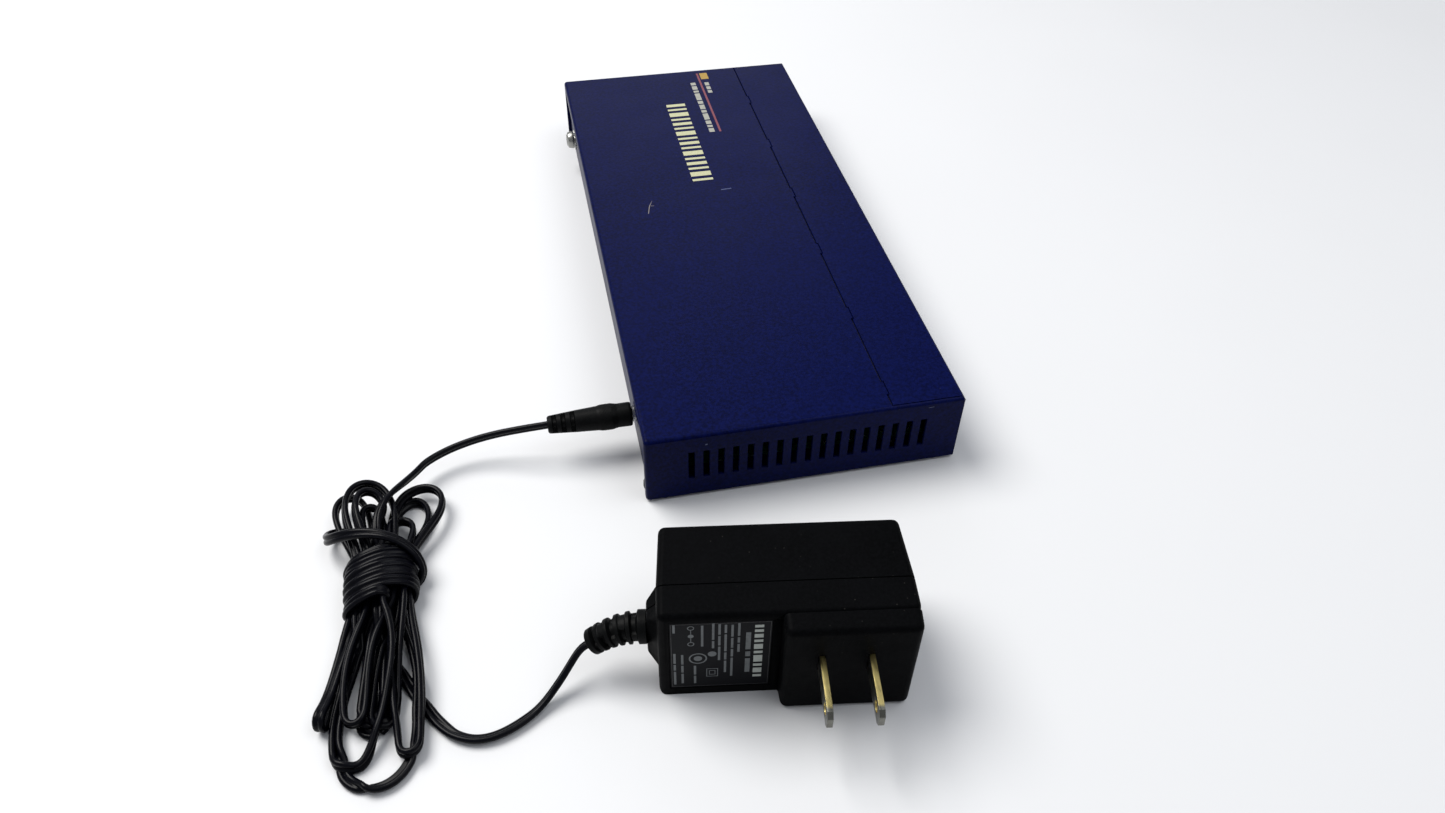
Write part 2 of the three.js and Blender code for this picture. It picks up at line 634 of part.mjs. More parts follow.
// Outline of the folded and wrapped cord: two round ends of slightly different size.
function makeHank() {
  const arcSteps = 10;
  const arc = ([x, y], radius, from) => Array.from({ length: arcSteps + 1 }, (_, i) => {
    const angle = from + (i * Math.PI) / arcSteps;
    return [x + radius * Math.cos(angle), y + radius * Math.sin(angle)];
  });
  const outline = [...arc(HANK.head, HANK.headRadius, 0), ...arc(HANK.foot, HANK.footRadius, Math.PI)];
  return raised(outline, HANK.bottom, HANK.top);
}

piece('cord_hank', makeHank(), 'cord');

// ---------------------------------------------------------------- wall adapter

const adapter = new THREE.Group();
adapter.position.set(...ADAPTER.at, 0);
adapter.rotation.z = THREE.MathUtils.degToRad(ADAPTER.turn);
model.add(adapter);

const inside = { u: [ADAPTER.wall, ADAPTER.width - ADAPTER.wall], z: [ADAPTER.wall, ADAPTER.height - ADAPTER.wall] };

// Raised pad round the strain relief on the left side, chamfered on all four edges.
function makeBoss([v0, v1]) {
  const { out, halfDepth, halfHeight, z, chamfer } = BOSS;
  const inV = raised([
    [0.5, -halfDepth],
    [0, -halfDepth],
    [-out, -halfDepth + chamfer],
    [-out, halfDepth - chamfer],
    [0, halfDepth],
    [0.5, halfDepth],
  ].reverse(), z - halfHeight, z + halfHeight);
  const inZ = raisedAlongY([
    [0.5, z - halfHeight],
    [0, z - halfHeight],
    [-out, z - halfHeight + chamfer],
    [-out, z + halfHeight - chamfer],
    [0, z + halfHeight],
    [0.5, z + halfHeight],
  ].reverse(), -halfDepth, halfDepth);
  const half = block([-out - 1, 1], [v0, v1], [0, ADAPTER.height]);
  return inV.intersect(inZ).intersect(half);
}

// Ribbed sleeve that carries the cord out of the boss, drooping a little, with a flange
// that sits flat against the boss.
function makeStrainRelief() {
  const root = new THREE.Vector3(...RELIEF.root);
  const along = new THREE.Vector3(...RELIEF.tip).sub(root);
  const length = along.length();
  const rootRadius = 3.7;
  const tipRadius = 2.7;
  const ribProud = 1.1;
  const pitch = (length - 2) / RELIEF.ribs;
  const profile = [[0, 0], [rootRadius, 0]];
  for (let i = 0; i < RELIEF.ribs; i += 1) {
    const start = 1.6 + i * pitch;
    const core = rootRadius + ((tipRadius - rootRadius) * start) / length;
    profile.push([core, start], [core + ribProud, start + 0.2], [core + ribProud, start + 0.9], [core, start + 1.1]);
  }
  profile.push([tipRadius, length], [0, length]);
  const points = profile.map(([radius, distance]) => new THREE.Vector2(radius, distance));
  const sleeve = new THREE.LatheGeometry(points, 14);
  const up = new THREE.Vector3(0, 1, 0);
  sleeve.applyQuaternion(new THREE.Quaternion().setFromUnitVectors(up, along.normalize()));
  sleeve.translate(...RELIEF.root);
  const flangeFace = -BOSS.out - CASE.gap;
  return join(rod('x', flangeFace - RELIEF.thick, flangeFace, [0, BOSS.z], RELIEF.flange, 16), toSolid(sleeve));
}

function makeRearShell() {
  const outer = draftedBox([0, ADAPTER.width], [ADAPTER.half, REAR_SHELL.depth], [0, ADAPTER.height], REAR_SHELL.draft);
  const cavity = draftedBox(inside.u, [-1, REAR_SHELL.depth - ADAPTER.wall], inside.z, REAR_SHELL.draft);
  return cut(join(outer, makeBoss([ADAPTER.half, BOSS.halfDepth + 1])), cavity);
}

function makeFrontShell() {
  const full = [0, ADAPTER.width];
  const tall = [0, ADAPTER.height];
  const blockSpan = [FRONT_SHELL.blockStart, ADAPTER.width];
  const outer = join(
    block(full, [FRONT_SHELL.label, -ADAPTER.half], tall),
    draftedBox(blockSpan, [FRONT_SHELL.block, FRONT_SHELL.label + 1], tall, FRONT_SHELL.draft, false),
    makeBoss([-BOSS.halfDepth - 1, -ADAPTER.half]),
  );
  const blockInside = [FRONT_SHELL.blockStart + ADAPTER.wall, inside.u[1]];
  const slots = BLADE.us.map((u) => block(
    [u - BLADE.thick / 2 - 0.2, u + BLADE.thick / 2 + 0.2],
    [FRONT_SHELL.block - 1, FRONT_SHELL.block + 4],
    [BLADE.z - BLADE.tall / 2 - 0.2, BLADE.z + BLADE.tall / 2 + 0.2],
  ));
  return cut(
    outer,
    block(inside.u, [FRONT_SHELL.label + ADAPTER.wall, 1], inside.z),
    block(blockInside, [FRONT_SHELL.block + ADAPTER.wall, 0], inside.z),
    block(LABEL.u, [FRONT_SHELL.label - 1, FRONT_SHELL.label + LABEL.recess], LABEL.z),
    ...slots,
  );
}

// Flat blade with a chamfered tip and a round hole; its width stands upright.
function makeBlade() {
  const tip = FRONT_SHELL.block - BLADE.reach;
  const half = BLADE.tall / 2;
  const chamfer = 1.4;
  const outline = [
    [-half, BLADE.inner],
    [-half, tip + chamfer],
    [-half + chamfer, tip],
    [half - chamfer, tip],
    [half, tip + chamfer],
    [half, BLADE.inner],
  ];
  const flat = cut(
    raised(outline, -BLADE.thick / 2, BLADE.thick / 2),
    rod('z', -2, 2, [0, tip + 4.2], BLADE.hole, 12),
  );
  const geometry = toGeometry(flat);
  geometry.rotateY(Math.PI / 2);
  return toSolid(geometry);
}

piece('adapter_rear_shell', makeRearShell(), 'plastic', adapter);
piece('adapter_front_shell', makeFrontShell(), 'plastic', adapter);
piece('adapter_strain_relief', makeStrainRelief(), 'plastic', adapter);
BLADE.us.forEach((u, i) => piece(`adapter_blade_${i + 1}`, makeBlade(), 'brass', adapter, [u, 0, BLADE.z]));
const labelBack = FRONT_SHELL.label + LABEL.recess - 0.1;
piece('adapter_label', block(
  [LABEL.u[0] + 0.2, LABEL.u[1] - 0.2],
  [labelBack - LABEL.film, labelBack],
  [LABEL.z[0] + 0.2, LABEL.z[1] - 0.2],
), 'film', adapter);
piece('adapter_circuit_board', block([5, 62], [9, 10.6], [4, 31]), 'board', adapter);
piece('adapter_transformer', block([26, 46], [-4, 8.7], [8, 27]), 'chip', adapter);
piece('adapter_capacitor', rod('y', -5, 8.7, [14, 17], 5.5, 16), 'can', adapter);

export default model;
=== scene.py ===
# The looks of a desktop network switch with its power lead and wall adapter.
# Points and sizes are in millimetres, and become metres when an object is made.
import math

import bmesh
import bpy
import numpy as np
from mathutils import Matrix, Vector


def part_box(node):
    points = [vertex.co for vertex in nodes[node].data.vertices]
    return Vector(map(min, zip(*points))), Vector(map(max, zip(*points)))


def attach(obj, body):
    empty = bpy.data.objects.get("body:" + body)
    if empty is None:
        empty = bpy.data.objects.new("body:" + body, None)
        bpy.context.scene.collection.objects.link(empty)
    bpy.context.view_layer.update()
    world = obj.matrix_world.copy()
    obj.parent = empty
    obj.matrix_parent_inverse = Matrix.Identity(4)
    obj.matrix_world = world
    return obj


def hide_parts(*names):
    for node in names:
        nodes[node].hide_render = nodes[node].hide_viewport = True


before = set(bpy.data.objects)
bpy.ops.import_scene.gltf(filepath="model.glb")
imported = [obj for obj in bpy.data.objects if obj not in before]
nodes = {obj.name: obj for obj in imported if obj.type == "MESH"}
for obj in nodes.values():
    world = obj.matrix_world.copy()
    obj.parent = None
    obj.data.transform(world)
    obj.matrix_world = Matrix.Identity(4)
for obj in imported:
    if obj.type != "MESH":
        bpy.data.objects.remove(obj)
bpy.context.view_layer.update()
scene = bpy.context.scene
MM = 0.001

CASE_BODY = "switch_case"
LEAD_BODY = "power_lead"


def span(node):
    """A CAD node's lowest and highest corner in millimetres."""
    low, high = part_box(node)
    return np.array(low) / MM, np.array(high) / MM


# ---- camera and light

CAMERA = {"place": (-75.3, -338.6, 254.7), "azimuth": 12.6, "down": 43.75, "roll": 0.97}
SENSOR_WIDTH = 36.0
FOCAL_LENGTH = 26.39336
SKY = {"Color": (0.92, 0.94, 1.0, 1), "Strength": 0.38}
LIGHTS = {  # place and aim in metres, size, power, colour
    "key": ((-0.6, 0.35, 1.15), (-0.05, -0.05, 0), 0.9, 21, (1.0, 0.98, 0.95)),
    "fill": ((0.5, -0.3, 1.1), (0, -0.1, 0), 0.9, 4, (0.95, 0.97, 1.0)),
    "glow": ((0.1, 1.2, 0.75), (0, 0, 0), 0.8, 1.6, (0.93, 0.95, 1.0)),
}


def make_camera():
    data = bpy.data.cameras.new("camera")
    data.sensor_width = SENSOR_WIDTH
    data.lens = FOCAL_LENGTH
    data.clip_start = 0.01
    data.clip_end = 20.0
    camera = bpy.data.objects.new("camera", data)
    scene.collection.objects.link(camera)
    azimuth, down, roll = (math.radians(CAMERA[k]) for k in ("azimuth", "down", "roll"))
    ahead = Vector((
        math.sin(azimuth) * math.cos(down),
        math.cos(azimuth) * math.cos(down),
        -math.sin(down),
    ))
    right = Vector((math.cos(azimuth), -math.sin(azimuth), 0))
    up = right.cross(ahead)
    across = right * math.cos(roll) + up * math.sin(roll)
    upright = up * math.cos(roll) - right * math.sin(roll)
    turn = Matrix((across, upright, -ahead)).transposed()
    camera.matrix_world = Matrix.Translation(Vector(CAMERA["place"]) * MM) @ turn.to_4x4()
    scene.camera = camera


def area_light(name, place, aim, size, power, colour):
    data = bpy.data.lights.new(name, "AREA")
    data.shape = "DISK"
    data.size = size
    data.energy = power
    data.color = colour
    light = bpy.data.objects.new(name, data)
    scene.collection.objects.link(light)
    light.location = Vector(place)
    light.rotation_mode = "QUATERNION"
    light.rotation_quaternion = (Vector(aim) - Vector(place)).to_track_quat("-Z", "Y")


def make_light():
    world = bpy.data.worlds.new("studio")
    scene.world = world
    world.use_nodes = True
    for key, value in SKY.items():
        world.node_tree.nodes["Background"].inputs[key].default_value = value
    for name, settings in LIGHTS.items():
        area_light(name, *settings)
    scene.view_settings.view_transform = "Standard"


# ---- mesh helpers

CREASE = 32.0  # degrees: edges that turn more than this stay sharp, unless a call says otherwise


def shade(mesh, angle=CREASE):
    """Smooth shading, with the edges that turn more than the angle kept sharp."""
    mesh.polygons.foreach_set("use_smooth", [True] * len(mesh.polygons))
    mesh.set_sharp_from_angle(angle=math.radians(angle))
    mesh.update()


def piece(name, mesh, body, slot, material, *replaced):
    """Links a mesh as a piece that rides on a body and may stand for CAD nodes."""
    made = bpy.data.objects.new(name, mesh)
    scene.collection.objects.link(made)
    mesh.materials.clear()
    mesh.materials.append(material)
    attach(made, body)
    if replaced:
        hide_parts(*replaced)
    return made


def mesh_of(name, points, faces, angle=CREASE):
    """A mesh from points in millimetres, with its faces turned outwards."""
    made = bmesh.new()
    corners = [made.verts.new(Vector(p) * MM) for p in points]
    for face in faces:
        made.faces.new([corners[i] for i in face])
    bmesh.ops.recalc_face_normals(made, faces=made.faces)
    return baked(made, name, angle)


def baked(made, name, angle=CREASE):
    """The mesh data of a bmesh, shaded, with the bmesh itself let go."""
    mesh = bpy.data.meshes.new(name)
    made.to_mesh(mesh)
    made.free()
    shade(mesh, angle)
    return mesh


def clean_copy(node):
    """A CAD node's shape with its shared corners joined and its flat faces whole."""
    made = bmesh.new()
    made.from_mesh(nodes[node].data)
    bmesh.ops.remove_doubles(made, verts=made.verts, dist=0.002 * MM)
    flat = math.radians(1)
    bmesh.ops.dissolve_limit(made, angle_limit=flat, verts=made.verts, edges=made.edges)
    return made


def sharp_edges(made, angle=35.0, wanted=None):
    """The edges that stick out sharply, and whose middle (in millimetres) is wanted."""
    found = []
    for edge in made.edges:
        if len(edge.link_faces) == 2 and edge.calc_face_angle_signed(0) > math.radians(angle):
            middle = (edge.verts[0].co + edge.verts[1].co) / 2 / MM
            if wanted is None or wanted(middle):
                found.append(edge)
    return found


def round_edges(made, edges, radius, segments=2, clamp=True):
    bmesh.ops.bevel(
        made, geom=edges, offset=radius * MM, segments=segments, profile=0.5,
        affect="EDGES", clamp_overlap=clamp,
    )


def softened(node, name, body, slot, material, radius=0.15, segments=2):
    """A CAD node again, with its sharp edges broken."""
    made = clean_copy(node)
    round_edges(made, sharp_edges(made), radius, segments)
    return piece(name, baked(made, name), body, slot, material, node)


# ---- materials

class Nodes:
    """A material's node tree, with short calls for the nodes that are used here. Noise scales
    are in repeats a metre, and colours are linear."""

    def __init__(self, name):
        self.material = bpy.data.materials.new(name)
        self.material.use_nodes = True
        self.tree = self.material.node_tree
        self.shader = self.tree.nodes["Principled BSDF"]
        self.place = self.tree.nodes.new("ShaderNodeTexCoord").outputs["Object"]

    def add(self, kind, inputs=(), **settings):
        node = self.tree.nodes.new(kind)
        for key, value in settings.items():
            setattr(node, key, value)
        for key, value in dict(inputs).items():
            self.put(node.inputs[key], value)
        return node

    def put(self, socket, value):
        if isinstance(value, bpy.types.NodeSocket):
            self.tree.links.new(value, socket)
        else:
            socket.default_value = value

    def set(self, **values):
        for key, value in values.items():
            self.put(self.shader.inputs[key.replace("_", " ")], value)

    def noise(self, scale, detail=2.0, roughness=0.5, vector=None):
        return self.add("ShaderNodeTexNoise", {
            "Vector": vector or self.place, "Scale": scale,
            "Detail": detail, "Roughness": roughness,
        }).outputs["Fac"]

    def cells(self, scale):
        inputs = {"Vector": self.place, "Scale": scale}
        return self.add("ShaderNodeTexVoronoi", inputs, feature="F1").outputs["Distance"]

    def remap(self, value, low, high, to_low=0.0, to_high=1.0):
        return self.add("ShaderNodeMapRange", {
            "Value": value, "From Min": low, "From Max": high,
            "To Min": to_low, "To Max": to_high,
        }).outputs["Result"]

    def ragged(self, value, scale, by):
        """A distance in metres, made uneven by that much in millimetres either way."""
        return self.math("ADD", value, self.remap(self.noise(scale, 3), 0, 1, -by * MM, by * MM))

    def math(self, kind, a, b=0.0):
        return self.add("ShaderNodeMath", {0: a, 1: b}, operation=kind).outputs[0]

    def measure(self, kind, a, b):
        return self.add("ShaderNodeVectorMath", {0: a, 1: b}, operation=kind).outputs["Value"]

    def product(self, a, b, c):
        return self.math("MULTIPLY", self.math("MULTIPLY", a, b), c)

    def mix(self, share, a, b):
        node = self.tree.nodes.new("ShaderNodeMix")
        node.data_type = "RGBA"
        self.put(node.inputs[0], share)
        self.put(node.inputs[6], a)
        self.put(node.inputs[7], b)
        return node.outputs[2]

    def stretched(self, scale):
        return self.add("ShaderNodeMapping", {"Vector": self.place, "Scale": scale}).outputs[0]

    def axis(self, i):
        return self.add("ShaderNodeSeparateXYZ", {0: self.place}).outputs[i]

    def rough(self, height, low, high):
        """Roughness that follows a noise between two values."""
        self.set(Roughness=self.remap(height, 0.3, 0.7, low, high))

    def bump(self, *layers):
        """Bump from (height, strength, depth in metres) layers."""
        normal = None
        for height, strength, depth in layers:
            inputs = {"Height": height, "Strength": strength, "Distance": depth}
            if normal is not None:
                inputs["Normal"] = normal
            normal = self.add("ShaderNodeBump", inputs).outputs["Normal"]
        self.set(Normal=normal)


def shade_of(colour, by):
    return tuple(min(1.0, c * by) for c in colour[:3]) + (1.0,)


def moulded(name, colour, roughness, texture, depth, spread=0.25, dust=0.0, specular=0.5):
    """Moulded plastic or rubber: a fine spark-eroded texture as deep as said in metres, faint
    cloudiness and some dust."""
    made = Nodes(name)
    cloud = made.remap(made.noise(60, 4), 0.3, 0.7)
    base = made.mix(cloud, shade_of(colour, 1 - spread), shade_of(colour, 1 + spread))
    grain = made.remap(made.noise(1100, 3, 0.7), 0.4, 0.66, 0, 0.5)
    base = made.mix(grain, base, shade_of(colour, 2.4))
    if dust:
        specks = made.remap(made.cells(420), 0.09, 0.05)
        patches = made.remap(made.noise(25, 3), 0.48, 0.66)
        base = made.mix(made.product(specks, patches, dust), base, (0.32, 0.30, 0.27, 1))
    rough = made.remap(made.noise(300, 3), 0.25, 0.75, roughness - 0.06, roughness + 0.08)
    made.set(Base_Color=base, Roughness=rough, Specular_IOR_Level=specular)
    made.bump((made.noise(texture, 2, 0.6), 0.5, depth), (made.noise(40, 2), 0.2, 0.0002))
    return made.material


def metal(name, colour, roughness, brush=(1, 1, 1), spread=0.12, stain=None):
    """Bare or plated metal with fine drawing lines, small stains and rubbed roughness."""
    made = Nodes(name)
    lines = made.noise(900, 3, 0.6, made.stretched(brush))
    cloud = made.remap(made.noise(120, 4), 0.35, 0.7)
    base = made.mix(cloud, shade_of(colour, 1 - spread), shade_of(colour, 1 + spread * 0.5))
    if stain:
        base = made.mix(made.remap(made.noise(220, 5), 0.56, 0.72, 0, 0.6), base, stain)
    made.set(Base_Color=base, Metallic=1.0)
    made.rough(lines, roughness * 0.75, roughness * 1.3)
    made.bump((lines, 0.25, 0.00004))
    return made.material


PAINT = (0.0012, 0.0031, 0.0355)


def powder_coat(name, bare_at=None, bare_radius=0.0):
    """Satin navy powder coat: orange peel, grain, faint clouding, scuffs rubbed smooth, fine
    dust. Round a screw, if one is given, the coat gives way to bare steel."""
    made = Nodes(name)
    cloud = made.remap(made.noise(14, 4), 0.3, 0.7, 0, 0.3)
    grain = made.remap(made.noise(900, 3, 0.7), 0.36, 0.64)
    base = made.mix(grain, shade_of(PAINT, 0.5), shade_of(PAINT, 1.35))
    base = made.mix(cloud, base, shade_of(PAINT, 1.5))
    lint = made.remap(made.cells(260), 0.045, 0.02)
    patches = made.remap(made.noise(18, 2), 0.5, 0.7)
    base = made.mix(made.product(lint, patches, 0.35), base, (0.16, 0.17, 0.24, 1))
    rub = made.remap(made.noise(700, 4, 0.6, made.stretched((0.06, 1, 0.06))), 0.6, 0.78)
    rough = made.remap(made.noise(45, 4), 0.3, 0.7, 0.29, 0.36)
    rough = made.math("SUBTRACT", rough, made.math("MULTIPLY", rub, 0.05))
    peel = made.noise(950, 2, 0.45)
    if bare_at:
        away = made.ragged(made.measure("DISTANCE", made.place, Vector(bare_at) * MM), 600, 0.8)
        bare = made.remap(away, (bare_radius + 0.15) * MM, (bare_radius - 0.15) * MM)
        base = made.mix(bare, base, (0.3, 0.3, 0.29, 1))
        made.set(Metallic=made.math("MULTIPLY", bare, 0.9))
    made.set(Base_Color=base, Roughness=rough, Specular_IOR_Level=0.04)
    made.bump((peel, 0.22, 0.00012), (made.noise(4200, 2), 0.08, 0.00004))
    return made.material


def ink(name, colour, worn):
    """Screen-printed ink, a little uneven and rubbed thin in places."""
    made = Nodes(name)
    thin = made.remap(made.noise(700, 5, 0.7), 0.52, 0.75, 0.0, worn)
    made.set(Base_Color=made.mix(thin, (*colour, 1), shade_of(colour, 0.35)))
    made.rough(made.noise(300, 2), 0.42, 0.55)
    made.bump((made.noise(1800, 2), 0.2, 0.00003))
    return made.material


def film(name, colour, roughness=0.3, specular=0.5):
    """Printed polyester film: smooth, slightly wavy, with faint scratches."""
    made = Nodes(name)
    cloud = made.remap(made.noise(30, 3), 0.35, 0.65)
    made.set(Base_Color=made.mix(cloud, shade_of(colour, 0.92), shade_of(colour, 1.1)))
    scratches = made.remap(made.noise(1500, 3, 0.7, made.stretched((1, 0.04, 1))), 0.62, 0.75)
    rough = made.remap(scratches, 0, 1, roughness, roughness + 0.15)
    made.set(Roughness=rough, Specular_IOR_Level=specular)
    made.bump((made.noise(90, 2), 0.12, 0.0002), (scratches, 0.1, 0.00002))
    return made.material


def circuit_board_finish():
    """Green solder mask over faint tracks and tinned pads."""
    made = Nodes("solder_mask")
    tracks = made.add("ShaderNodeTexBrick", {
        "Vector": made.stretched((260, 260, 260)), "Mortar Size": 0.03,
        "Color1": (0.006, 0.045, 0.02, 1), "Color2": (0.009, 0.07, 0.03, 1),
        "Mortar": (0.005, 0.034, 0.016, 1),
    }).outputs["Color"]
    pads = made.remap(made.cells(380), 0.2, 0.16)
    made.set(Base_Color=made.mix(made.math("MULTIPLY", pads, 0.8), tracks, (0.5, 0.5, 0.48, 1)))
    made.set(Roughness=made.remap(pads, 0, 1, 0.38, 0.25))
    made.set(Metallic=made.math("MULTIPLY", pads, 0.8))
    made.bump((made.noise(500, 2), 0.15, 0.00005), (pads, 0.3, 0.00005))
    return made.material


def clear_finish():
    """Clear acrylic."""
    made = Nodes("clear_moulding")
    base = made.mix(made.noise(80, 2), (0.86, 0.9, 0.92, 1), (0.93, 0.95, 0.96, 1))
    made.set(Base_Color=base, Transmission_Weight=0.85, IOR=1.49)
    made.rough(made.noise(300, 2), 0.08, 0.18)
    made.bump((made.noise(150, 2), 0.1, 0.0001))
    return made.material


def blade_finish(tip, ahead, broad):
    """Blade sheared from nickel-plated brass strip: plated on its broad sides, bare on its
    narrow ones, and worn grey at the tip. Ahead is the way it points, broad the way its broad
    sides face."""
    made = Nodes("blade_brass")
    edge = Vector(tip).dot(ahead) * MM
    reach = made.ragged(made.measure("DOT_PRODUCT", made.place, ahead), 500, 0.5)
    worn = made.remap(reach, edge - 3.2 * MM, edge - 2.2 * MM)
    facing = made.tree.nodes.new("ShaderNodeTexCoord").outputs["Normal"]
    square = made.math("ABSOLUTE", made.measure("DOT_PRODUCT", facing, broad))
    plated = made.math("MAXIMUM", made.remap(square, 0.6, 0.85), worn)
    blotch = made.remap(made.noise(300, 5), 0.4, 0.7)
    brass = made.mix(blotch, (0.56, 0.47, 0.19, 1), (0.4, 0.33, 0.14, 1))
    nickel = made.mix(blotch, (0.17, 0.17, 0.15, 1), (0.1, 0.1, 0.085, 1))
    made.set(Base_Color=made.mix(plated, brass, nickel), Metallic=1.0)
    rubs = made.noise(1200, 3, 0.6, made.stretched((1, 0.08, 1)))
    made.rough(rubs, 0.22, 0.42)
    made.bump((rubs, 0.3, 0.00004))
    return made.material


CARRIER_FRONT = 38.72


def contact_finish():
    """Gold springs, held in a black carrier that ends where x passes CARRIER_FRONT."""
    made = Nodes("contact_gold")
    ahead = made.remap(made.axis(0), CARRIER_FRONT * MM, (CARRIER_FRONT + 0.06) * MM)
    gold = made.mix(made.noise(500, 3), (0.6, 0.42, 0.14, 1), (0.75, 0.56, 0.22, 1))
    made.set(Base_Color=made.mix(ahead, (0.014, 0.014, 0.015, 1), gold), Metallic=ahead)
    made.rough(made.noise(700, 3), 0.22, 0.4)
    made.bump((made.noise(1500, 2), 0.15, 0.00003))
    return made.material


def floor_finish():
    """Pale, even and dull."""
    made = Nodes("studio_floor")
    base = made.mix(made.noise(3, 2), (0.66, 0.67, 0.69, 1), (0.68, 0.69, 0.7, 1))
    made.set(Base_Color=base)
    made.rough(made.noise(9, 2), 0.55, 0.65)
    return made.material


# ---- cord

# The free stretches follow the CAD's.
PLUG_SIDE = [
    (-77.8, -91, 14.3), (-84, -90.4, 13.5), (-94, -88.6, 11), (-102.4, -88, 8.8),
    (-110.7, -89.4, 7.2), (-117.2, -93, 6.8), (-121.3, -97.2, 7),
]
ADAPTER_SIDE = [
    (-115.4, -184.8, 1.2), (-111.8, -187.6, 1.2), (-107.2, -190, 1.2), (-102.6, -190.4, 1.2),
    (-97.8, -189.2, 1.2), (-93, -186.9, 1.2), (-88.6, -184, 1.9), (-84.9, -181, 3.7),
    (-81.8, -178.5, 6), (-79, -176.3, 8.7), (-76.4, -174.5, 11.1), (-74.3, -174.1, 12.2),
]
INTO_PLUG = (-75.8, -91, 14.5)
INTO_RELIEF = (-72.2, -174.2, 13)

# The hank: sixteen legs pass through its waist, each at its own (x, z), and the folds join
# them beyond the waist, beside the plug ("head") and beside the adapter ("foot").
WAIST = (-128, -138, -148)  # the y of each leg's three points
LEG_AT = {
    "d": (-137.2, 3.1), "e": (-133.8, 3.1), "f": (-130.4, 3.1), "g": (-127, 3.2),
    "l": (-139, 6), "k": (-135.8, 6), "o": (-132.6, 6), "a": (-129.4, 6), "m": (-126.2, 6),
    "b": (-123.6, 6.2), "h": (-137.4, 8.9), "j": (-134.2, 9), "p": (-131, 8.9), "i": (-127.8, 9),
    "n": (-124.7, 8.8), "c": (-129.4, 11.6),
}
# Each fold runs from its left leg to its right leg.
FOOT_FOLDS = {
    "narrow": [
        (-141.2, -160, 6.4), (-143.8, -169, 5.2), (-146.2, -178, 4.8), (-147.4, -182.8, 3.6),
        (-146.8, -181.8, 1.8), (-144.4, -172, 1.2), (-140.4, -162, 2.6),
    ],
    "deep": [
        (-140.4, -160, 3.4), (-142.8, -172, 2), (-143.4, -185, 1.4), (-141.8, -193, 1.3),
        (-138, -195, 1.6), (-133.4, -188.6, 3.6), (-130.2, -180, 5.6), (-128, -168, 8),
        (-126.6, -158, 10),
    ],
    "round": [
        (-138.6, -160, 2.4), (-142.2, -173, 1.3), (-143.2, -187, 1.2), (-139.4, -196.6, 1.2),
        (-132.2, -200.2, 1.2), (-125.6, -197.2, 1.2), (-122, -189, 1.6), (-121, -176, 2.4),
        (-122.4, -162, 3.4),
    ],
    "right": [
        (-129.2, -162, 6.8), (-128, -175, 5.4), (-126.8, -187, 3.8), (-125.2, -193.6, 3.4),
        (-122.6, -194, 3.6), (-121.4, -186, 4.2), (-120.4, -174, 6), (-121.2, -160, 7),
    ],
    "inner": [
        (-139.2, -160, 8.5), (-140.8, -171, 6.4), (-140, -180.4, 4.8), (-137.6, -183.6, 4.4),
        (-135.2, -179, 5.2), (-134.2, -168, 8.2), (-132.8, -158, 10.2),
    ],
    "under": [
        (-135, -162, 3.2), (-136.4, -172, 1.9), (-136, -181, 1.4), (-133.2, -185.8, 1.3),
        (-130, -181, 1.5), (-129.2, -170, 2.4), (-129.6, -160, 3.2),
    ],
    "spare": [
        (-134.6, -160, 5), (-136.2, -172, 3.6), (-136, -180, 3.2), (-133.8, -183.4, 3),
        (-131.6, -179.6, 3.4), (-130.8, -169, 4.6), (-130.6, -160, 5.4),
    ],
    "centre": [
        (-131.6, -160, 6.2), (-133.2, -171, 4.4), (-132.8, -180, 3.8), (-130.6, -184.6, 3.6),
        (-128.2, -180, 4), (-127, -170, 5.4), (-126.2, -160, 7.6),
    ],
}
HEAD_FOLDS = {
    "outer": [
        (-129.6, -114, 5.2), (-128, -106.4, 5.2), (-122.9, -101.2, 5.6), (-116.8, -101.2, 6),
        (-113, -105, 6), (-112.8, -110, 6), (-115, -115.2, 6), (-119, -120.4, 6.2),
    ],
    "lower": [
        (-130.4, -115, 3), (-128, -107, 2.6), (-123, -102.8, 2.8), (-119.2, -105.6, 3),
        (-117.4, -111.4, 3.2), (-118.2, -116.4, 3.4), (-121.6, -121.4, 3.8),
    ],
    "dome": [
        (-140, -121, 11.4), (-142.2, -112, 12), (-141.4, -103.8, 11.8), (-137.4, -99.8, 11),
        (-131.8, -101, 9.8), (-128, -106.4, 8.4), (-127.4, -114, 8.4),
    ],
    "crown": [
        (-136.8, -121, 12.8), (-138.8, -113, 13.6), (-138, -106.2, 13), (-133.6, -103.8, 11.4),
        (-130.8, -108, 9.4), (-131, -117, 9.6),
    ],
    "left": [
        (-142.4, -120, 5.4), (-145.4, -113, 6), (-146.6, -105.6, 6.4), (-143.6, -100.8, 6.6),
        (-138.6, -101.6, 6), (-135.6, -109, 5), (-134.6, -118, 4),
    ],
    "nest": [
        (-136.2, -121, 8.6), (-137.2, -114, 9), (-136, -108.4, 8.8), (-133.2, -107.2, 8.4),
        (-131.4, -111.4, 7.8), (-131.4, -120, 7.4),
    ],
    "tuck": [
        (-129.6, -121, 8), (-129, -115.2, 7), (-126.2, -112.4, 6), (-123.2, -114.2, 5.4),
        (-121.8, -118.6, 5.8), (-122.8, -123, 7),
    ],
}
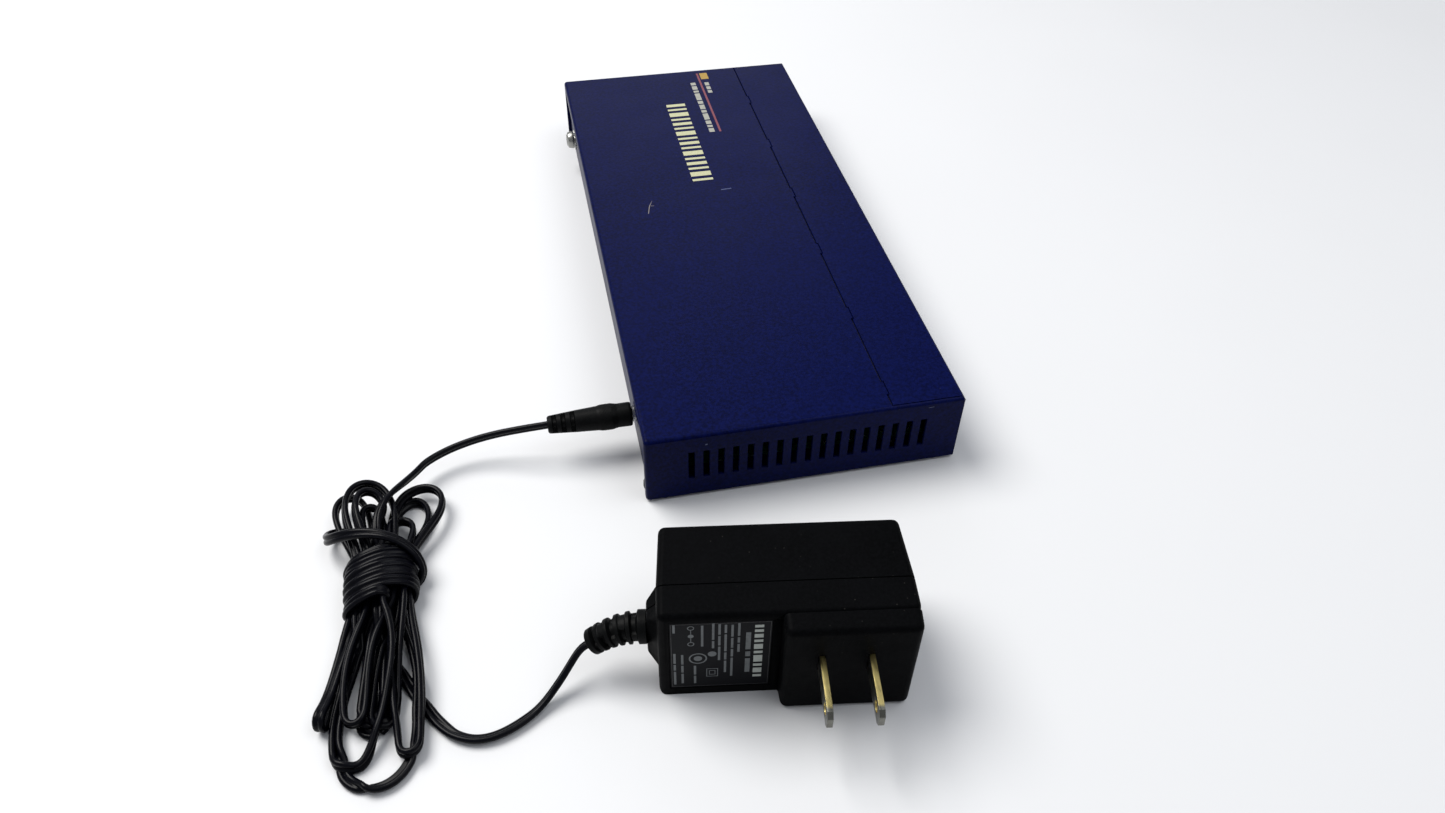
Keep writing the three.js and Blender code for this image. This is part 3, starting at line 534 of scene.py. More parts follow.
# In the cord's order: leg down, foot fold and the side it is entered from, leg up, head fold
# and the side it is entered from.
HANK_ORDER = [
    ("a", "right", "L", "b", "outer", "R"),
    ("m", "centre", "L", "n", "tuck", "R"),
    ("c", "deep", "R", "d", "left", "L"),
    ("o", "spare", "L", "p", "nest", "R"),
    ("e", "under", "L", "f", "lower", "L"),
    ("g", "round", "R", "h", "dome", "L"),
    ("i", "inner", "R", "j", "crown", "L"),
    ("k", "narrow", "R", "l", None, None),
]
LEAD_IN = [(-124.2, -100.8, 8.9), (-128, -106.4, 11.4), (-132, -111.8, 12.4), (-133.4, -118, 11)]
LOOSE_WRAP = [
    (-139.6, -120, 5.2), (-141.2, -114, 3.6), (-145.2, -111.4, 3.2), (-148.2, -115, 4.6),
    (-148, -119.8, 8), (-144.8, -122.6, 12.2), (-139.4, -124, 15), (-132.6, -125.6, 16),
    (-126, -128, 15.2), (-120.6, -131.4, 11), (-118.8, -135.6, 6), (-122.2, -138, 2.2),
    (-129, -137.6, 1.2), (-136, -136, 1.4), (-141, -134.2, 4.2),
]
WRAPS = {
    "turns": 5.4, "points": 14, "start": math.pi + 0.35, "middle": (-131.2, 7),
    "half": (10.5, 6.6), "from": -129.6, "pitch": 2.9, "tilt": 2.4,
}
LEAD_OUT = [(-138, -153.4, 1.3), (-130, -160.4, 1.2), (-125.6, -167, 1.2), (-121.2, -177.6, 1.2)]
HANK_SHIFT = 1.2  # along x, of the whole hank

CONDUCTOR = 0.9  # radius of each of its two cores
CORE_OFFSET = 0.8  # from the cord's middle to a core's
LEANS = ((0, -0.35, 0.94), (0.1, -0.72, 0.69))  # its wide way, free beside plug and adapter
CORD_STEP = 2.0
RING_STEP = 1.0
# How the cord settles: rounds of passes, and the share of each error that a pass takes away.
ROUNDS, PASSES = 160, 3
SINK = 0.012  # in each round
SEARCH_EVERY, SEARCH_REACH = 8, 2.5  # rounds between searches, and how far beyond touching
OWN_POINTS = 3  # points this near along the cord don't push each other
KEEP_LENGTH, KEEP_STRAIGHT, KEEP_PLACE, KEEP_ROUND = 0.45, 0.07, 0.002, 0.25
STIFF = ((2, 3.55), (4, 5.4))  # points this many steps apart stay this far apart
TOUCH_GAP, TABLE_GAP = 0.02, 0.05
FREE_WEIGHT = 2.0  # of the lean beside the bend, where the cord runs free
WAY_BLUR, TURN_BLUR = 5, 3  # in points


def hank_points():
    """The folded legs, then the turns wound round their waist."""
    points = list(LEAD_IN)

    def leg(name, way):
        x, z = LEG_AT[name]
        return [(x, y, z) for y in WAIST[::way]]

    def fold(folded, side):
        return folded[::1 if side == "L" else -1]

    for down, foot, foot_side, up, head, head_side in HANK_ORDER:
        points += leg(down, 1) + fold(FOOT_FOLDS[foot], foot_side) + leg(up, -1)
        if head:
            points += fold(HEAD_FOLDS[head], head_side)
    points += LOOSE_WRAP
    (x, z), (wide, tall) = WRAPS["middle"], WRAPS["half"]
    for i in range(int(WRAPS["turns"] * WRAPS["points"]) + 1):
        turn = i / WRAPS["points"]
        angle = WRAPS["start"] - 2 * math.pi * turn
        y = WRAPS["from"] - WRAPS["pitch"] * turn + WRAPS["tilt"] * math.cos(angle)
        points.append((x + wide * math.cos(angle), y, z + tall * math.sin(angle)))
    points += LEAD_OUT
    return [(x + HANK_SHIFT, y, z) for x, y, z in points]


def steps_of(line):
    """The distances from each point to the next."""
    return np.linalg.norm(np.diff(line, axis=0), axis=1)


def at_places(wanted, places, values):
    """Rows of three values, read between their places."""
    return np.stack([np.interp(wanted, places, values[:, k]) for k in range(3)], axis=1)


def evenly(line, step):
    """The same line with points one step apart."""
    along = np.concatenate([[0], np.cumsum(steps_of(line))])
    return at_places(np.linspace(0, along[-1], int(round(along[-1] / step)) + 1), along, line)


def smooth_line(points, step):
    """A centripetal Catmull-Rom curve through the points, as evenly spaced points."""
    p = np.array(points, float)
    p = np.vstack([2 * p[0] - p[1], p, 2 * p[-1] - p[-2]])
    found = []
    for i in range(1, len(p) - 2):
        knots = np.concatenate([[0], np.cumsum(steps_of(p[i - 1:i + 3]) ** 0.5)])
        count = max(2, int(4 * np.linalg.norm(p[i + 1] - p[i]) / step))
        t = np.linspace(knots[1], knots[2], count, endpoint=False)[:, None]
        layer = [np.broadcast_to(q, (count, 3)) for q in p[i - 1:i + 3]]
        for spans in (((0, 1), (1, 2), (2, 3)), ((0, 2), (1, 3)), ((1, 2),)):
            layer = [
                ((knots[end] - t) * a + (t - knots[start]) * b) / (knots[end] - knots[start])
                for (start, end), a, b in zip(spans, layer, layer[1:])
            ]
        found.append(layer[0])
    return evenly(np.vstack(found + [p[-2:-1]]), step)


def blurred(values, width):
    """Each column of values, smoothed along the rows."""
    reach = int(3 * width) + 1
    weights = np.exp(-0.5 * (np.arange(-reach, reach + 1) / width) ** 2)
    weights /= weights.sum()
    padded = np.pad(values, ((reach, reach), (0, 0)), mode="edge")
    return np.stack([np.convolve(column, weights, "valid") for column in padded.T], axis=1)


def unit(rows):
    return rows / np.linalg.norm(rows, axis=1)[:, None]


def directions(line):
    return unit(np.gradient(line, axis=0))


def square_to(along, rows):
    """What is left of each row square to its direction."""
    return rows - along * (rows * along).sum(1)[:, None]


def carried_sideways(along):
    """A direction square to the line that turns about it as little as possible."""
    side = np.zeros_like(along)
    side[0] = np.cross(along[0], (0, 0, 1))
    for i in range(len(along)):
        start = side[max(i - 1, 0)]
        side[i] = start - along[i] * (start @ along[i])
        side[i] /= np.linalg.norm(side[i])
    return side


def widths(line, free):
    """Which way the flat cord is wide: it bends over its thin side, and leans where free."""
    along = directions(line)
    side = carried_sideways(along)
    other = np.cross(along, side)
    bend = np.cross(along, np.gradient(along, axis=0))
    first_half = (np.arange(len(line)) < len(line) / 2)[:, None]
    lean = square_to(along, np.where(first_half, *LEANS))
    doubled = 0
    for way, weight in ((bend, 1.0), (lean, FREE_WEIGHT * free[:, None])):
        a, b = (way * side).sum(1), (way * other).sum(1)
        doubled = doubled + weight * np.stack([a * a - b * b, 2 * a * b], axis=1)
    doubled = blurred(doubled, WAY_BLUR)
    angle = np.unwrap(np.arctan2(doubled[:, 1], doubled[:, 0])) / 2
    angle = blurred(angle[:, None], TURN_BLUR)
    return np.cos(angle) * side + np.sin(angle) * other


def settled(line, held):
    """Lets the cord's two cores, as linked chains, push apart and sink until they lie on each
    other and on the table. Returns the line down the middle and the way it is wide."""
    count = len(line)
    wide = widths(line, held.astype(float))
    cores = np.concatenate([line + CORE_OFFSET * wide, line - CORE_OFFSET * wide])
    start = cores.copy()
    free = np.where(np.concatenate([held, held]), 0.0, 1.0)[:, None]
    number = np.arange(2 * count) % count
    apart = 2 * CONDUCTOR + TOUCH_GAP
    length = steps_of(line)[:, None]
    halves = (slice(0, count), slice(count, 2 * count))

    def spread(push, reach):
        """Moves points that are reach steps apart away from each other, in both cores."""
        for half in halves:
            core, loose = cores[half], free[half]
            core[:-reach] -= push * loose[:-reach]
            core[reach:] += push * loose[reach:]

    for i in range(ROUNDS):
        cores[:, 2] -= SINK * free[:, 0]
        if i % SEARCH_EVERY == 0:
            squared = (cores ** 2).sum(1)
            between = squared[:, None] + squared[None] - 2 * cores @ cores.T
            first, second = np.nonzero(np.triu(between < (apart + SEARCH_REACH) ** 2, 1))
            strangers = np.abs(number[first] - number[second]) > OWN_POINTS
            first, second = first[strangers], second[strangers]
        for _ in range(PASSES):
            gap = cores[first] - cores[second]
            far = np.linalg.norm(gap, axis=1)
            push = np.maximum(apart - far, 0)
            movable = np.maximum(free[first, 0] + free[second, 0], 1)
            share = push / movable / np.maximum(far, 1e-6)
            moved, hits = np.zeros_like(cores), np.zeros(2 * count)
            for index, sign in ((first, 1), (second, -1)):
                np.add.at(moved, index, sign * gap * share[:, None])
                np.add.at(hits, index[push > 0], 1)
            cores += moved / np.maximum(hits, 1)[:, None] ** 0.5 * free
            a, b = (cores[half] for half in halves)
            gap = a - b
            far = np.linalg.norm(gap, axis=1)[:, None]
            pull = gap / far * (far - 2 * CORE_OFFSET) * 0.5
            cores[halves[0]] -= pull * free[halves[0]]
            cores[halves[1]] += pull * free[halves[1]]
            middle = (cores[halves[0]] + cores[halves[1]]) / 2
            step = np.diff(middle, axis=0)
            far = np.linalg.norm(step, axis=1)[:, None]
            spread(step / far * (length - far) * KEEP_LENGTH, 1)
            for half in halves:
                core, loose = cores[half], free[half]
                bow = (core[:-2] + core[2:]) / 2 - core[1:-1]
                core[1:-1] += bow * KEEP_STRAIGHT * loose[1:-1]
            for reach, least in STIFF:
                gap = middle[reach:] - middle[:-reach]
                far = np.linalg.norm(gap, axis=1)[:, None]
                spread(gap / far * np.maximum(least - far, 0) * KEEP_ROUND, reach)
            cores[:, 2] = np.maximum(cores[:, 2], CONDUCTOR + TABLE_GAP)
            cores += (start - cores) * KEEP_PLACE * free
    a, b = (cores[half] for half in halves)
    return (a + b) / 2, a - b


SECTION = {"waist": math.radians(28), "points": 11}  # of each core in the figure of eight
LINE_BLUR, WIDE_BLUR = 1.2, 2.0  # in rings
SWEPT_GAP = 0.04  # the least left under the swept cord


def tube_faces(rings, size):
    """The faces of a closed tube whose points come ring by ring."""
    faces = []
    for i in range(rings - 1):
        for k in range(size):
            n = (k + 1) % size
            faces.append((i * size + k, i * size + n, (i + 1) * size + n, (i + 1) * size + k))
    return faces + [tuple(range(size))[::-1], tuple(range((rings - 1) * size, rings * size))]


def swept_twin(name, line, wide, rings_apart):
    """A tube of two joined round cores along the line. Returns the mesh and its ring centres."""
    rings = int(round(steps_of(line).sum() / rings_apart)) + 1
    old, new = np.linspace(0, 1, len(line)), np.linspace(0, 1, rings)
    line = blurred(at_places(new, old, line), LINE_BLUR)
    wide = blurred(at_places(new, old, wide), WIDE_BLUR)
    along = directions(line)
    wide = unit(square_to(along, wide))
    lowest = CONDUCTOR + SWEPT_GAP + CORE_OFFSET * np.abs(wide[:, 2])
    line[:, 2] = np.maximum(line[:, 2], lowest)
    thin = np.cross(along, wide)
    half_turn = math.pi - SECTION["waist"]
    arc = np.linspace(-half_turn, half_turn, SECTION["points"])
    lobe = [(CORE_OFFSET + CONDUCTOR * math.cos(a), CONDUCTOR * math.sin(a)) for a in arc]
    section = lobe + [(-x, -y) for x, y in lobe]
    points = np.stack([line + x * wide + y * thin for x, y in section], axis=1).reshape(-1, 3)
    return mesh_of(name, points, tube_faces(rings, len(section)), angle=60), line


HOLD_SHORT = 4.0  # the free stretches are held in place but for this much before the hank


def make_cord(material):
    line = smooth_line(PLUG_SIDE + hank_points() + ADAPTER_SIDE, CORD_STEP)
    along = np.arange(len(line)) * CORD_STEP
    lead_in, lead_out = (
        steps_of(smooth_line(free, 0.5)).sum() - HOLD_SHORT for free in (PLUG_SIDE, ADAPTER_SIDE)
    )
    line, wide = settled(line, (along < lead_in) | (along > along[-1] - lead_out))
    flip = np.cumprod(np.where((wide[1:] * wide[:-1]).sum(1) < 0, -1, 1))
    wide[1:] *= flip[:, None]
    line = np.vstack([INTO_PLUG, line, INTO_RELIEF])
    wide = np.vstack([wide[:1], wide, wide[-1:]])
    mesh, centres = swept_twin("power_cord", line, wide, RING_STEP)
    cord = piece(
        "power_cord", mesh, LEAD_BODY, "cord_sheath", material,
        "cord_plug_side", "cord_hank", "cord_adapter_side",
    )
    return cord, centres


# ---- case

COVER = span("top_cover")
CHASSIS = span("base_chassis")
VENTS = (8.2, 20.1)  # the heights they lie between, with a margin
GROWN = 0.004  # the envelope's clearance round a panel
SHOWN = 0.05  # how near an edge has to lie to count as at a face


def rounded_box(low, high, groups):
    """A box whose edges are rounded: each group is (radius, segments, wanted edge middles)."""
    made = bmesh.new()
    bmesh.ops.create_cube(made, size=1)
    for corner in made.verts:
        corner.co = [(high if corner.co[i] > 0 else low)[i] * MM for i in range(3)]
    for radius, segments, wanted in groups:
        round_edges(made, sharp_edges(made, 60, wanted), radius, segments)
    mesh = bpy.data.meshes.new("envelope")
    made.to_mesh(mesh)
    made.free()
    return mesh


def shared_part(name, mesh, envelope):
    """What two closed meshes have in common."""
    pair = [bpy.data.objects.new("shape", mesh), bpy.data.objects.new("envelope", envelope)]
    for one in pair:
        scene.collection.objects.link(one)
    trim = pair[0].modifiers.new("trim", "BOOLEAN")
    trim.operation = "INTERSECT"
    trim.solver = "EXACT"
    trim.object = pair[1]
    result = pair[0].evaluated_get(bpy.context.evaluated_depsgraph_get())
    common = bpy.data.meshes.new_from_object(result)
    common.name = name
    for one in pair:
        bpy.data.objects.remove(one)
    return common


def even_light(made):
    """Lets the large faces decide the shading, so that they look flat beside round edges."""
    weighted = made.modifiers.new("even_light", "WEIGHTED_NORMAL")
    weighted.keep_sharp = True
    weighted.weight = 80


def make_panel(node, name, own_edges, outline, material):
    """A panel of the case: its slots and holes rounded, then the outline's larger bends."""
    low, high = span(node)
    made = clean_copy(node)
    for radius, wanted in own_edges:
        round_edges(made, sharp_edges(made, 60, wanted), radius)
    mesh = baked(made, "panel_shape")
    mesh = shared_part(name, mesh, rounded_box(low - GROWN, high + GROWN, outline))
    shade(mesh, 28)
    even_light(piece(name, mesh, CASE_BODY, "blue_paint", material, node))


def make_cover(material):
    low, high = COVER
    ends = high[1] - 0.1

    def on_vent(middle):
        return abs(middle.y) > ends and VENTS[0] < middle.z < VENTS[1]

    def on_seam(middle):
        return middle.z > high[2] - SHOWN and 28 < middle.x < 30 and abs(middle.y) < ends

    def half_way_up(middle):
        return abs(middle.z - 14) < 3

    def at_top(middle):
        return middle.z > high[2] - SHOWN or (middle.x < low[0] + SHOWN and half_way_up(middle))

    def at_front(middle):
        return middle.x > high[0] - SHOWN and half_way_up(middle)

    def at_foot(middle):
        return middle.z < low[2] + SHOWN and abs(middle.y) < 1

    outline = [(1.3, 5, at_top), (0.45, 3, at_front), (1.3, 4, at_foot)]
    make_panel("top_cover", "case_cover", ((0.22, on_vent), (0.18, on_seam)), outline, material)


def make_chassis(material):
    high = CHASSIS[1]

    def on_seam(middle):
        return middle.z > high[2] - SHOWN and middle.x < 31

    def at_hole(middle):
        on_front = middle.x > high[0] - SHOWN and abs(middle.y) < high[1] - 1
        return on_front and 7 < middle.z < 22

    def on_bends(middle):
        return abs(middle.y) < 1

    own_edges = ((0.18, on_seam), (0.15, at_hole))
    make_panel("base_chassis", "case_chassis", own_edges, [(1.2, 5, on_bends)], material)


# The black strip of painted shade behind the seam: its x, half width, depth, drop below the chassis
# top, and how far short of each end it stops.
SEAM_SHADE_STRIP = {"x": 29.0, "half": 1.8, "deep": 1.1, "sheet": 1.002, "short": 0.8}
FOOT_SPREAD = 1.26  # the skirt's width over the CAD foot's


def make_seam_shade_strip(material):
    """A black strip behind the seam, painted shade that keeps the gap dark, so that no light shows
    through it.
    """
    low, high = CHASSIS
    top = high[2] - SEAM_SHADE_STRIP["sheet"]
    section = [
        (SEAM_SHADE_STRIP["x"] + SEAM_SHADE_STRIP["half"] * math.cos(a), top - SEAM_SHADE_STRIP["deep"] * math.sin(a))
        for a in np.linspace(0, math.pi, 13)
    ]
    ends = (low[1] + SEAM_SHADE_STRIP["short"], high[1] - SEAM_SHADE_STRIP["short"])
    points = [(x, y, z) for y in ends for x, z in section]
    count = len(section)
    faces = [(i, i + 1, i + 1 + count, i + count) for i in range(count - 1)]
    faces += [(count - 1, 0, count, 2 * count - 1), range(count), range(count, 2 * count)]
    name = "seam_shade_strip"
    piece(name, mesh_of(name, points, faces), CASE_BODY, "foot_rubber", material)


def make_foot(number, material):
    """A rubber foot whose skirt reaches almost to the end of the case."""
    node = f"rubber_foot_{number}"
    made = softened(node, f"foot_{number}", CASE_BODY, "foot_rubber", material, 0.3, 3)
    low, high = span(node)
    x, y = (low[:2] + high[:2]) / 2 * MM
    for corner in made.data.vertices:
        corner.co.x = x + (corner.co.x - x) * FOOT_SPREAD
        corner.co.y = y + (corner.co.y - y) * FOOT_SPREAD


# ---- flat marks

def bar(a0, a1, b0, b1):
    return [[(a0, b0), (a1, b0), (a1, b1), (a0, b1)]]


def disc(a, b, radius, sides=24):
    turns = [2 * math.pi * i / sides for i in range(sides)]
    return [[(a + radius * math.cos(t), b + radius * math.sin(t)) for t in turns]]


def ring(a, b, outer, inner, sides=28):
    quads = []
    for i in range(sides):
        start, end = 2 * math.pi * i / sides, 2 * math.pi * (i + 1) / sides
        quads.append([
            (a + radius * math.cos(t), b + radius * math.sin(t))
            for radius, t in ((inner, start), (outer, start), (outer, end), (inner, end))
        ])
    return quads


def border(a0, a1, b0, b1, line):
    return (
        bar(a0, a1, b0, b0 + line) + bar(a0, a1, b1 - line, b1)
        + bar(a0, a0 + line, b0 + line, b1 - line) + bar(a1 - line, a1, b0 + line, b1 - line)
    )


def dashes(a, b0, lengths, gap, width):
    """Bars in a row along b, as words stand in a line of print."""
    marks = []
    for length in lengths:
        marks += bar(a, a + width, b0, b0 + length)
        b0 += length + gap
    return marks


SEGMENTS = {  # of a digit 1 wide and 2 high: (a0, a1, b0, b1)
    "a": (0, 1, 1.8, 2), "b": (0.8, 1, 1, 2), "c": (0.8, 1, 0, 1), "d": (0, 1, 0, 0.2),
    "e": (0, 0.2, 0, 1), "f": (0, 0.2, 1, 2), "g": (0, 1, 0.9, 1.1),
}
DIGITS = (None, "bc", "abged", "abgcd", "fbgc", "afgcd", "afgecd", "abc", "afbgecd")


def digit(number, a, b, size):
    marks = []
    for name in DIGITS[number]:
        a0, a1, b0, b1 = (v * size for v in SEGMENTS[name])
        marks += bar(a + a0, a + a1, b + b0, b + b1)
    return marks


INK_RISE = 0.02
SCRATCH_RISE = 0.012


def marks_on(at, body, slot, rows, proud=INK_RISE):
    """Flat marks a hair above a surface, from (name, outlines, ink) rows. at(a, b, rise) gives
    the point in millimetres."""
    for name, outlines, colour in rows:
        points, faces = [], []
        for outline in outlines:
            first, count = len(points), len(outline)
            points += [at(a, b, rise) for rise in (proud, 0.002) for a, b in outline]
            faces.append(tuple(range(first, first + count)))
            for i in range(count):
                n = (i + 1) % count
                faces.append((first + i, first + count + i, first + count + n, first + n))
            faces.append(tuple(range(first + 2 * count - 1, first + count - 1, -1)))
        piece(name, mesh_of(name, points, faces), body, slot, INKS[colour])


def on_top(a, b, rise):
    return a, b, COVER[1][2] + rise


def on_end(a, b, rise):
    return a, COVER[0][1] - rise, b


def make_top_print():
    """Plain bars where a maker's print stands on such a case."""
    words = dashes(6.2, 60, (3.2, 1.8, 3, 5.4, 2.2, 4, 2.6, 6.2, 1.8, 3.4, 2.4), 0.9, 2.3)
    marks_on(on_top, CASE_BODY, "blue_paint", (
        ("top_mark", dashes(-8.1, 23, (1.5, 3.2, 1.5, 2.2) * 4, 2.0, 8.3), "cream"),
        ("top_line", words, "pale"),
        ("top_rule", bar(10.4, 11.3, 59.8, 113.6), "red"),
        ("top_badge", bar(11.9, 15.4, 107.7, 113.6), "mustard"),
        ("top_badge_line", dashes(12.6, 94.4, (2.4, 2.8, 3), 0.9, 1.9), "pale"),
    ))


def make_scuffs():
    """Small scratches in the coat of the top and the near end."""
    hook = [
        [(-29.3, 3.6), (-29.0, 3.5), (-27.8, 8.6), (-28.1, 8.8)],
        [(-28.1, 8.8), (-27.8, 8.6), (-26.4, 12), (-26.5, 12)],
        [(-27.8, 8.9), (-27.5, 8.6), (-26.2, 8.4), (-26.2, 8.6)],
    ]
    faint = [[(1.6, 14.6), (5.8, 14.9), (5.9, 15.5), (1.7, 15.2)]]
    nicks = [
        [(-31.1, 22.4), (-30.4, 22.5), (-30.3, 23), (-31, 22.9)],
        [(40.6, 24.8), (42.4, 24.9), (42.4, 25.1), (40.6, 25)],
    ]
    on_the_top = (("top_scratch", hook, "scratch"), ("top_rub", faint, "rub"))
    marks_on(on_top, CASE_BODY, "blue_paint", on_the_top, SCRATCH_RISE)
    marks_on(on_end, CASE_BODY, "blue_paint", (("end_nicks", nicks, "rub"),), SCRATCH_RISE)


def make_front_print():
    """Numbers over the ports, and a mark beside each light."""
    face = span("front_overlay")[1][0]

    def on_front(a, b, rise):
        return face + rise, a, b

    numbers = []
    for block, first in (("port_housing_1", 1), ("port_housing_2", 5)):
        low, high = span(block)
        pitch = (high[1] - low[1]) / 4
        for i in range(4):
            numbers += digit(first + i, low[1] + (i + 0.5) * pitch - 0.55, 21.7, 1.1)
    lights = bar(-90.6, -85.4, 17.4, 18)
    for i in range(8):
        y = -78 + 5.2 * i
        lights += digit(i + 1, y - 0.45, 16.6, 0.9) + bar(y - 0.25, y + 0.25, 10.4, 11.6)
    lights += bar(-92, -37.6, 8.6, 9) + bar(-103, -94, 13.2, 14.8) + bar(-103, -97, 11.2, 11.9)
    marks_on(on_front, CASE_BODY, "printed_film", (
        ("port_numbers", numbers, "pale"),
        ("light_marks", lights, "pale"),
        ("front_stripe", bar(-103, 103, 5, 5.9), "mustard"),
    ))


def make_bottom_print():
    """Plain lines and bars on the label under the case."""
    face = span("bottom_label")[0][2]

    def below(a, b, rise):
        return a, b, face - rise

    marks = border(-22.6, 22.6, -40.6, 40.6, 0.3)
    for i, lengths in enumerate(((18, 11), (9, 14, 6), (12, 5, 16), (7, 22), (15, 8, 9))):
        marks += dashes(-19 + 4 * i, -37, lengths, 1.6, 1.4 if i else 2.2)
    b = -37.0
    for i in range(26):
        wide = 0.35 + 0.3 * ((i * 7) % 4)
        marks += bar(4, 13, b, b + wide)
        b += wide + 0.4 + 0.25 * ((i * 5) % 3)
    marks += ring(17.5, 20, 2.6, 2.1) + border(5, 12, 24, 31, 0.5) + disc(17.5, 30, 1.6)
    marks_on(below, CASE_BODY, "printed_film", (("bottom_label_print", marks, "dark"),))


# ---- round mouldings

def ridged(name, axis, radius, steps, sides):
    """A closed round form along a line of points (millimetres). radius(s, angle) is its radius at
    a share s of the way along; angle 0 is its upper side."""
    axis = evenly(np.array(axis, float), steps_of(axis).sum() / steps)
    along = directions(axis)
    across = unit(square_to(along, np.array([(0.0, 0.0, 1.0)] * len(axis))))
    other = np.cross(along, across)
    points = []
    for i, centre in enumerate(axis):
        for angle in 2 * math.pi / sides * np.arange(sides):
            way = math.cos(angle) * across[i] + math.sin(angle) * other[i]
            points.append(centre + radius(i / (len(axis) - 1), angle) * way)
    return mesh_of(name, points, tube_faces(len(axis), sides), angle=50)


def step_up(value, start, end):
    """0 up to the start, 1 from the end on, and smooth between them."""
    t = min(1.0, max(0.0, (value - start) / (end - start)))
    return t * t * (3 - 2 * t)


def hump(value, middle, half, soft):
    """1 within half of the middle, falling to 0 over soft beyond it."""
    return 1 - step_up(abs(value - middle), half, half + soft)


PLUG_PROFILE = [  # share of the length from the tail, radius
    (0, 2.3), (0.012, 2.75), (0.03, 2.92), (0.08, 3.02), (0.35, 3.6), (0.59, 3.97), (0.62, 4.16),
    (0.66, 4.26), (0.76, 4.28), (0.79, 4.12), (0.83, 3.9), (0.97, 3.95), (0.99, 3.85), (1, 3.6),
]
PLUG_GROOVES = {"from_tail": (2.2, 5.1, 8.1), "half": 0.55, "depth": 1.6, "faces": math.radians(45)}


def make_plug(grip_finish):
    low, high = span("plug_grip")
    length = high[0] - low[0]
    centre = (low + high) / 2
    shares, radii = zip(*PLUG_PROFILE)

    def radius(share, angle):
        r = float(np.interp(share, shares, radii))
        facing = abs(math.cos(angle - PLUG_GROOVES["faces"]))
        for middle in PLUG_GROOVES["from_tail"]:
            cut = hump(share * length, middle, PLUG_GROOVES["half"], 0.2)
            r -= PLUG_GROOVES["depth"] * cut * step_up(facing, 0.24, 0.36)
        pebbled = hump(share, 0.7, 0.06, 0.03)
        return r + pebbled * 0.05 * math.sin(24 * angle + share * 180)

    axis = [(x, centre[1], centre[2]) for x in (low[0], high[0])]
    mesh = ridged("lead_plug", axis, radius, 170, 72)
    piece("lead_plug", mesh, LEAD_BODY, "grip_plastic", grip_finish, "plug_grip")


ADAPTER = {"at": (-55.7, -176.1), "turn": math.radians(-8.77)}
RELIEF_LINE = [  # in the adapter's (u, v, z), from its boss to the tip
    (-2.9, 0, 17.7), (-5.7, 0, 17.6), (-9.4, -0.1, 17), (-13, -0.35, 15.6),
    (-16, -0.65, 13.8), (-18.3, -0.9, 12.2),
]
RELIEF = {
    "ribs": 5, "rib_half": 0.42, "first_rib": 2.2, "last_rib": 1.5, "proud": 1.15,
    "root": 3.2, "tip": 2.15, "flange": 0.14, "flange_radius": 4.6, "mouth": 2.1,
}


def from_adapter(u, v, z):
    c, s = math.cos(ADAPTER["turn"]), math.sin(ADAPTER["turn"])
    return ADAPTER["at"][0] + u * c - v * s, ADAPTER["at"][1] + u * s + v * c, z


def to_adapter(point):
    x, y = point[0] - ADAPTER["at"][0], point[1] - ADAPTER["at"][1]
    c, s = math.cos(ADAPTER["turn"]), math.sin(ADAPTER["turn"])
    return Vector((x * c + y * s, y * c - x * s, point[2]))


def make_relief(grip_finish):
    """A flange, then ribs joined by bars: above and below in one gap, at the sides in the next."""
    line = smooth_line([from_adapter(*p) for p in RELIEF_LINE], 0.2)
    length = steps_of(line).sum()
    ribs, proud, flange_end = RELIEF["ribs"], RELIEF["proud"], RELIEF["flange"] * length
    first = flange_end + RELIEF["first_rib"]
    pitch = (length - RELIEF["last_rib"] - first) / (ribs - 1)

    def radius(share, angle):
        s = share * length
        core = RELIEF["root"] + (RELIEF["tip"] - RELIEF["root"]) * share
        gap = int(max(0, min(ribs - 1, math.floor((s - first) / pitch + 1))))
        if gap % 2:
            r = core + step_up(abs(math.cos(angle)), 0.72, 0.82) * proud * 0.95
        else:
            r = core + step_up(abs(math.sin(angle)), 0.84, 0.92) * proud * 0.7
        for i in range(ribs):
            half = RELIEF["rib_half"] + (0.5 if i == ribs - 1 else 0)
            r = max(r, core + (proud + 0.35) * hump(s, first + i * pitch, half, 0.45))
        flange = 1 - step_up(s, flange_end - 0.3, flange_end + 0.3)
        r = max(r, core + (RELIEF["flange_radius"] - core) * flange)
        closing = step_up(s, length - 1.1, length)
        return r * (1 - closing) + RELIEF["mouth"] * closing

    mesh = ridged("lead_relief", line, radius, 110, 64)
    piece("lead_relief", mesh, LEAD_BODY, "adapter_plastic", grip_finish, "adapter_strain_relief")


# ---- wall adapter

SHELL = {"corner": 1.9, "length": 67, "height": 35.5, "near": 0.95, "face": -10}


